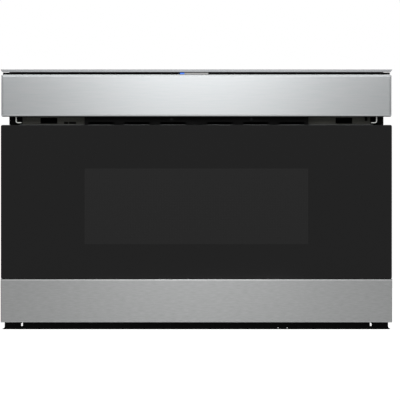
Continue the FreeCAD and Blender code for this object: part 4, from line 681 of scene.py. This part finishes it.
finishes = {
    "black_glass": toughenedGlass("backPaintedToughenedGlass"),
    "stainless": brushedStainless("fineBrushedStainless", "panel_bar"),
    "bright_trim": satinTrim(),
    "black_steel": powderCoat(),
    "black_plastic": blackAbs(),
    "screen_steel": screenSteel(),
    "clear_glass": clearGlass(),
    "grey_nylon": greyAcetal(),
    "basket_plastic": basketPolymer(),
    "white_ceramic": glazedCeramic(),
    "zinc_steel": zincPlate(),
    "bright_steel": nickelSteel(),
    # the grey window has no lamp; its glow is painted light
    "display_grey": litPlastic("smokedAcrylicWindowPaintedGlow", lit["grey"], lit["greyPaintedGlow"]),
    "light_blue": litPlastic("blueAcrylicLens", lit["blue"], lit["blueGlow"]),
    "motor_steel": motorCan(),
    "galvanised": galvanisedSheet(),
    "cavity_enamel": cavityEnamel(),
    "cast_aluminium": castAluminium(),
    "core_steel": laminatedCore(),
    "copper_coil": enamelledCopper(),
    "board_green": solderMask(),
    "lamp_white": lampGlass(),
    "switch_black": switchPolyester(),
    "plunger_red": plungerRed(),
}
polyamide = blackPolyamide()
# nodes whose finish differs from the rest of their slot
ownFinish = {
    "door_glass": toughenedGlass("backPaintedWindowGlass", windowArea()),
    "touch_glass": touchGlass(),
    "door_trim": brushedStainless("brushedStainless", "door_trim"),
    # the rails' dark tone is painted shade of the gap
    "support_rails": railSteelWithPaintedShade(),
    "air_grille": polyamide,
    "tilt_sector": polyamide,
    "tilt_pinion": polyamide,
    "case_screws": screwSteel(),
}
edgeWidths = {"galvanised": edges["sheetWidth"], "zinc_steel": edges["sheetWidth"]}
for node, slot in slotOf.items():
    width = edges["glassWidth"] if node == "door_glass" else edgeWidths.get(slot, edges["width"])
    dressNode(node, ownFinish.get(node, finishes[slot]), width)
print("nodes dressed:", len(slotOf))


# plain digits on the touch glass, in mm

marks = {"digits": "1234567890", "fontSize": 10.5, "firstDigit": 66.0, "digitPitch": 19.0,
         "thickness": 0.04, "edgeReach": 1.0}


def addMarks(material):
    # the glass slopes; the height of its rear edge is read from the points within edgeReach of the rear
    low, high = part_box("touch_glass")
    points = [vertex.co for vertex in nodes["touch_glass"].data.vertices]
    rear = max(point.z for point in points if point.y > high.y - marks["edgeReach"] * mm)
    fall = math.atan2(high.z - rear, high.y - low.y)
    middleY = (low.y + high.y) / 2
    middleZ = (high.z + rear) / 2
    for step, digitName in enumerate(marks["digits"]):
        text = bpy.data.curves.new("digit", "FONT")
        text.body = digitName
        text.size = marks["fontSize"] * mm
        text.extrude = marks["thickness"] * mm / 2
        text.align_x = "CENTER"
        text.align_y = "CENTER"
        holder = bpy.data.objects.new("digit", text)
        bpy.context.scene.collection.objects.link(holder)
        bpy.context.view_layer.update()
        depsgraph = bpy.context.evaluated_depsgraph_get()
        mesh = bpy.data.meshes.new_from_object(holder.evaluated_get(depsgraph))
        bpy.data.objects.remove(holder)
        digit = bpy.data.objects.new("touch_digit_" + digitName, mesh)
        bpy.context.scene.collection.objects.link(digit)
        place = Vector(((marks["firstDigit"] + step * marks["digitPitch"]) * mm, middleY, middleZ))
        mesh.transform(Matrix.Translation(place) @ Matrix.Rotation(-fall, 4, "X"))
        mesh.materials.clear()
        mesh.materials.append(material)
        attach(digit, "control_panel")


addMarks(printInk())
print("digits added:", len(marks["digits"]))


# the screen behind the window: round holes in thin steel, 2 mm apart and drawn at 8 mm

screen = {"pitch": 8.0, "holeRadius": 2.6, "rim": 6.0, "merge": 0.01}
roundCell = ((1, 0), (1, 1), (0, 1), (-1, 1), (-1, 0), (-1, -1), (0, -1), (1, -1))     # across, up


def gridLines(low, high):
    # the edges of the cells along one axis: a rim, whole cells of one pitch, and a rim
    count = int((high - low - 2 * screen["rim"] * mm) / (screen["pitch"] * mm))
    start = (low + high - count * screen["pitch"] * mm) / 2
    return [low, *(start + step * screen["pitch"] * mm for step in range(count + 1)), high]


def punchCell(sheet, middle, reach, holed):
    # a cell is one face, or eight round a hole; reach is half its width and height
    outer = [sheet.verts.new(middle + Vector((across * reach.x, 0, up * reach.z)))
             for across, up in roundCell]
    if not holed:
        sheet.faces.new(outer)
        return
    corners = len(roundCell)
    hole = []
    for turn in range(corners):
        angle = 2 * math.pi * turn / corners
        edge = Vector((math.cos(angle), 0, math.sin(angle))) * screen["holeRadius"] * mm
        hole.append(sheet.verts.new(middle + edge))
    for turn in range(corners):
        after = (turn + 1) % corners
        sheet.faces.new((outer[turn], outer[after], hole[after], hole[turn]))


def punchedScreen(node, material):
    low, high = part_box(node)
    columns = gridLines(low.x, high.x)
    rows = gridLines(low.z, high.z)
    sheet = bmesh.new()
    for column, (left, right) in enumerate(zip(columns, columns[1:])):
        for row, (bottom, top) in enumerate(zip(rows, rows[1:])):
            holed = 0 < column < len(columns) - 2 and 0 < row < len(rows) - 2
            middle = Vector(((left + right) / 2, low.y, (bottom + top) / 2))
            reach = Vector(((right - left) / 2, 0, (top - bottom) / 2))
            punchCell(sheet, middle, reach, holed)
    bmesh.ops.remove_doubles(sheet, verts=sheet.verts, dist=screen["merge"] * mm)
    bmesh.ops.recalc_face_normals(sheet, faces=sheet.faces)
    mesh = bpy.data.meshes.new("punched_screen")
    sheet.to_mesh(mesh)
    sheet.free()
    piece = bpy.data.objects.new("punched_screen", mesh)
    bpy.context.scene.collection.objects.link(piece)
    mesh.materials.append(material)
    thick = piece.modifiers.new("thick", "SOLIDIFY")
    thick.thickness = high.y - low.y
    thick.offset = -1.0 if mesh.polygons[0].normal.y < 0 else 1.0
    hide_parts(node)
    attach(piece, bodyOf[node])


punchedScreen("window_screen", finishes["screen_steel"])
print("window screen punched")
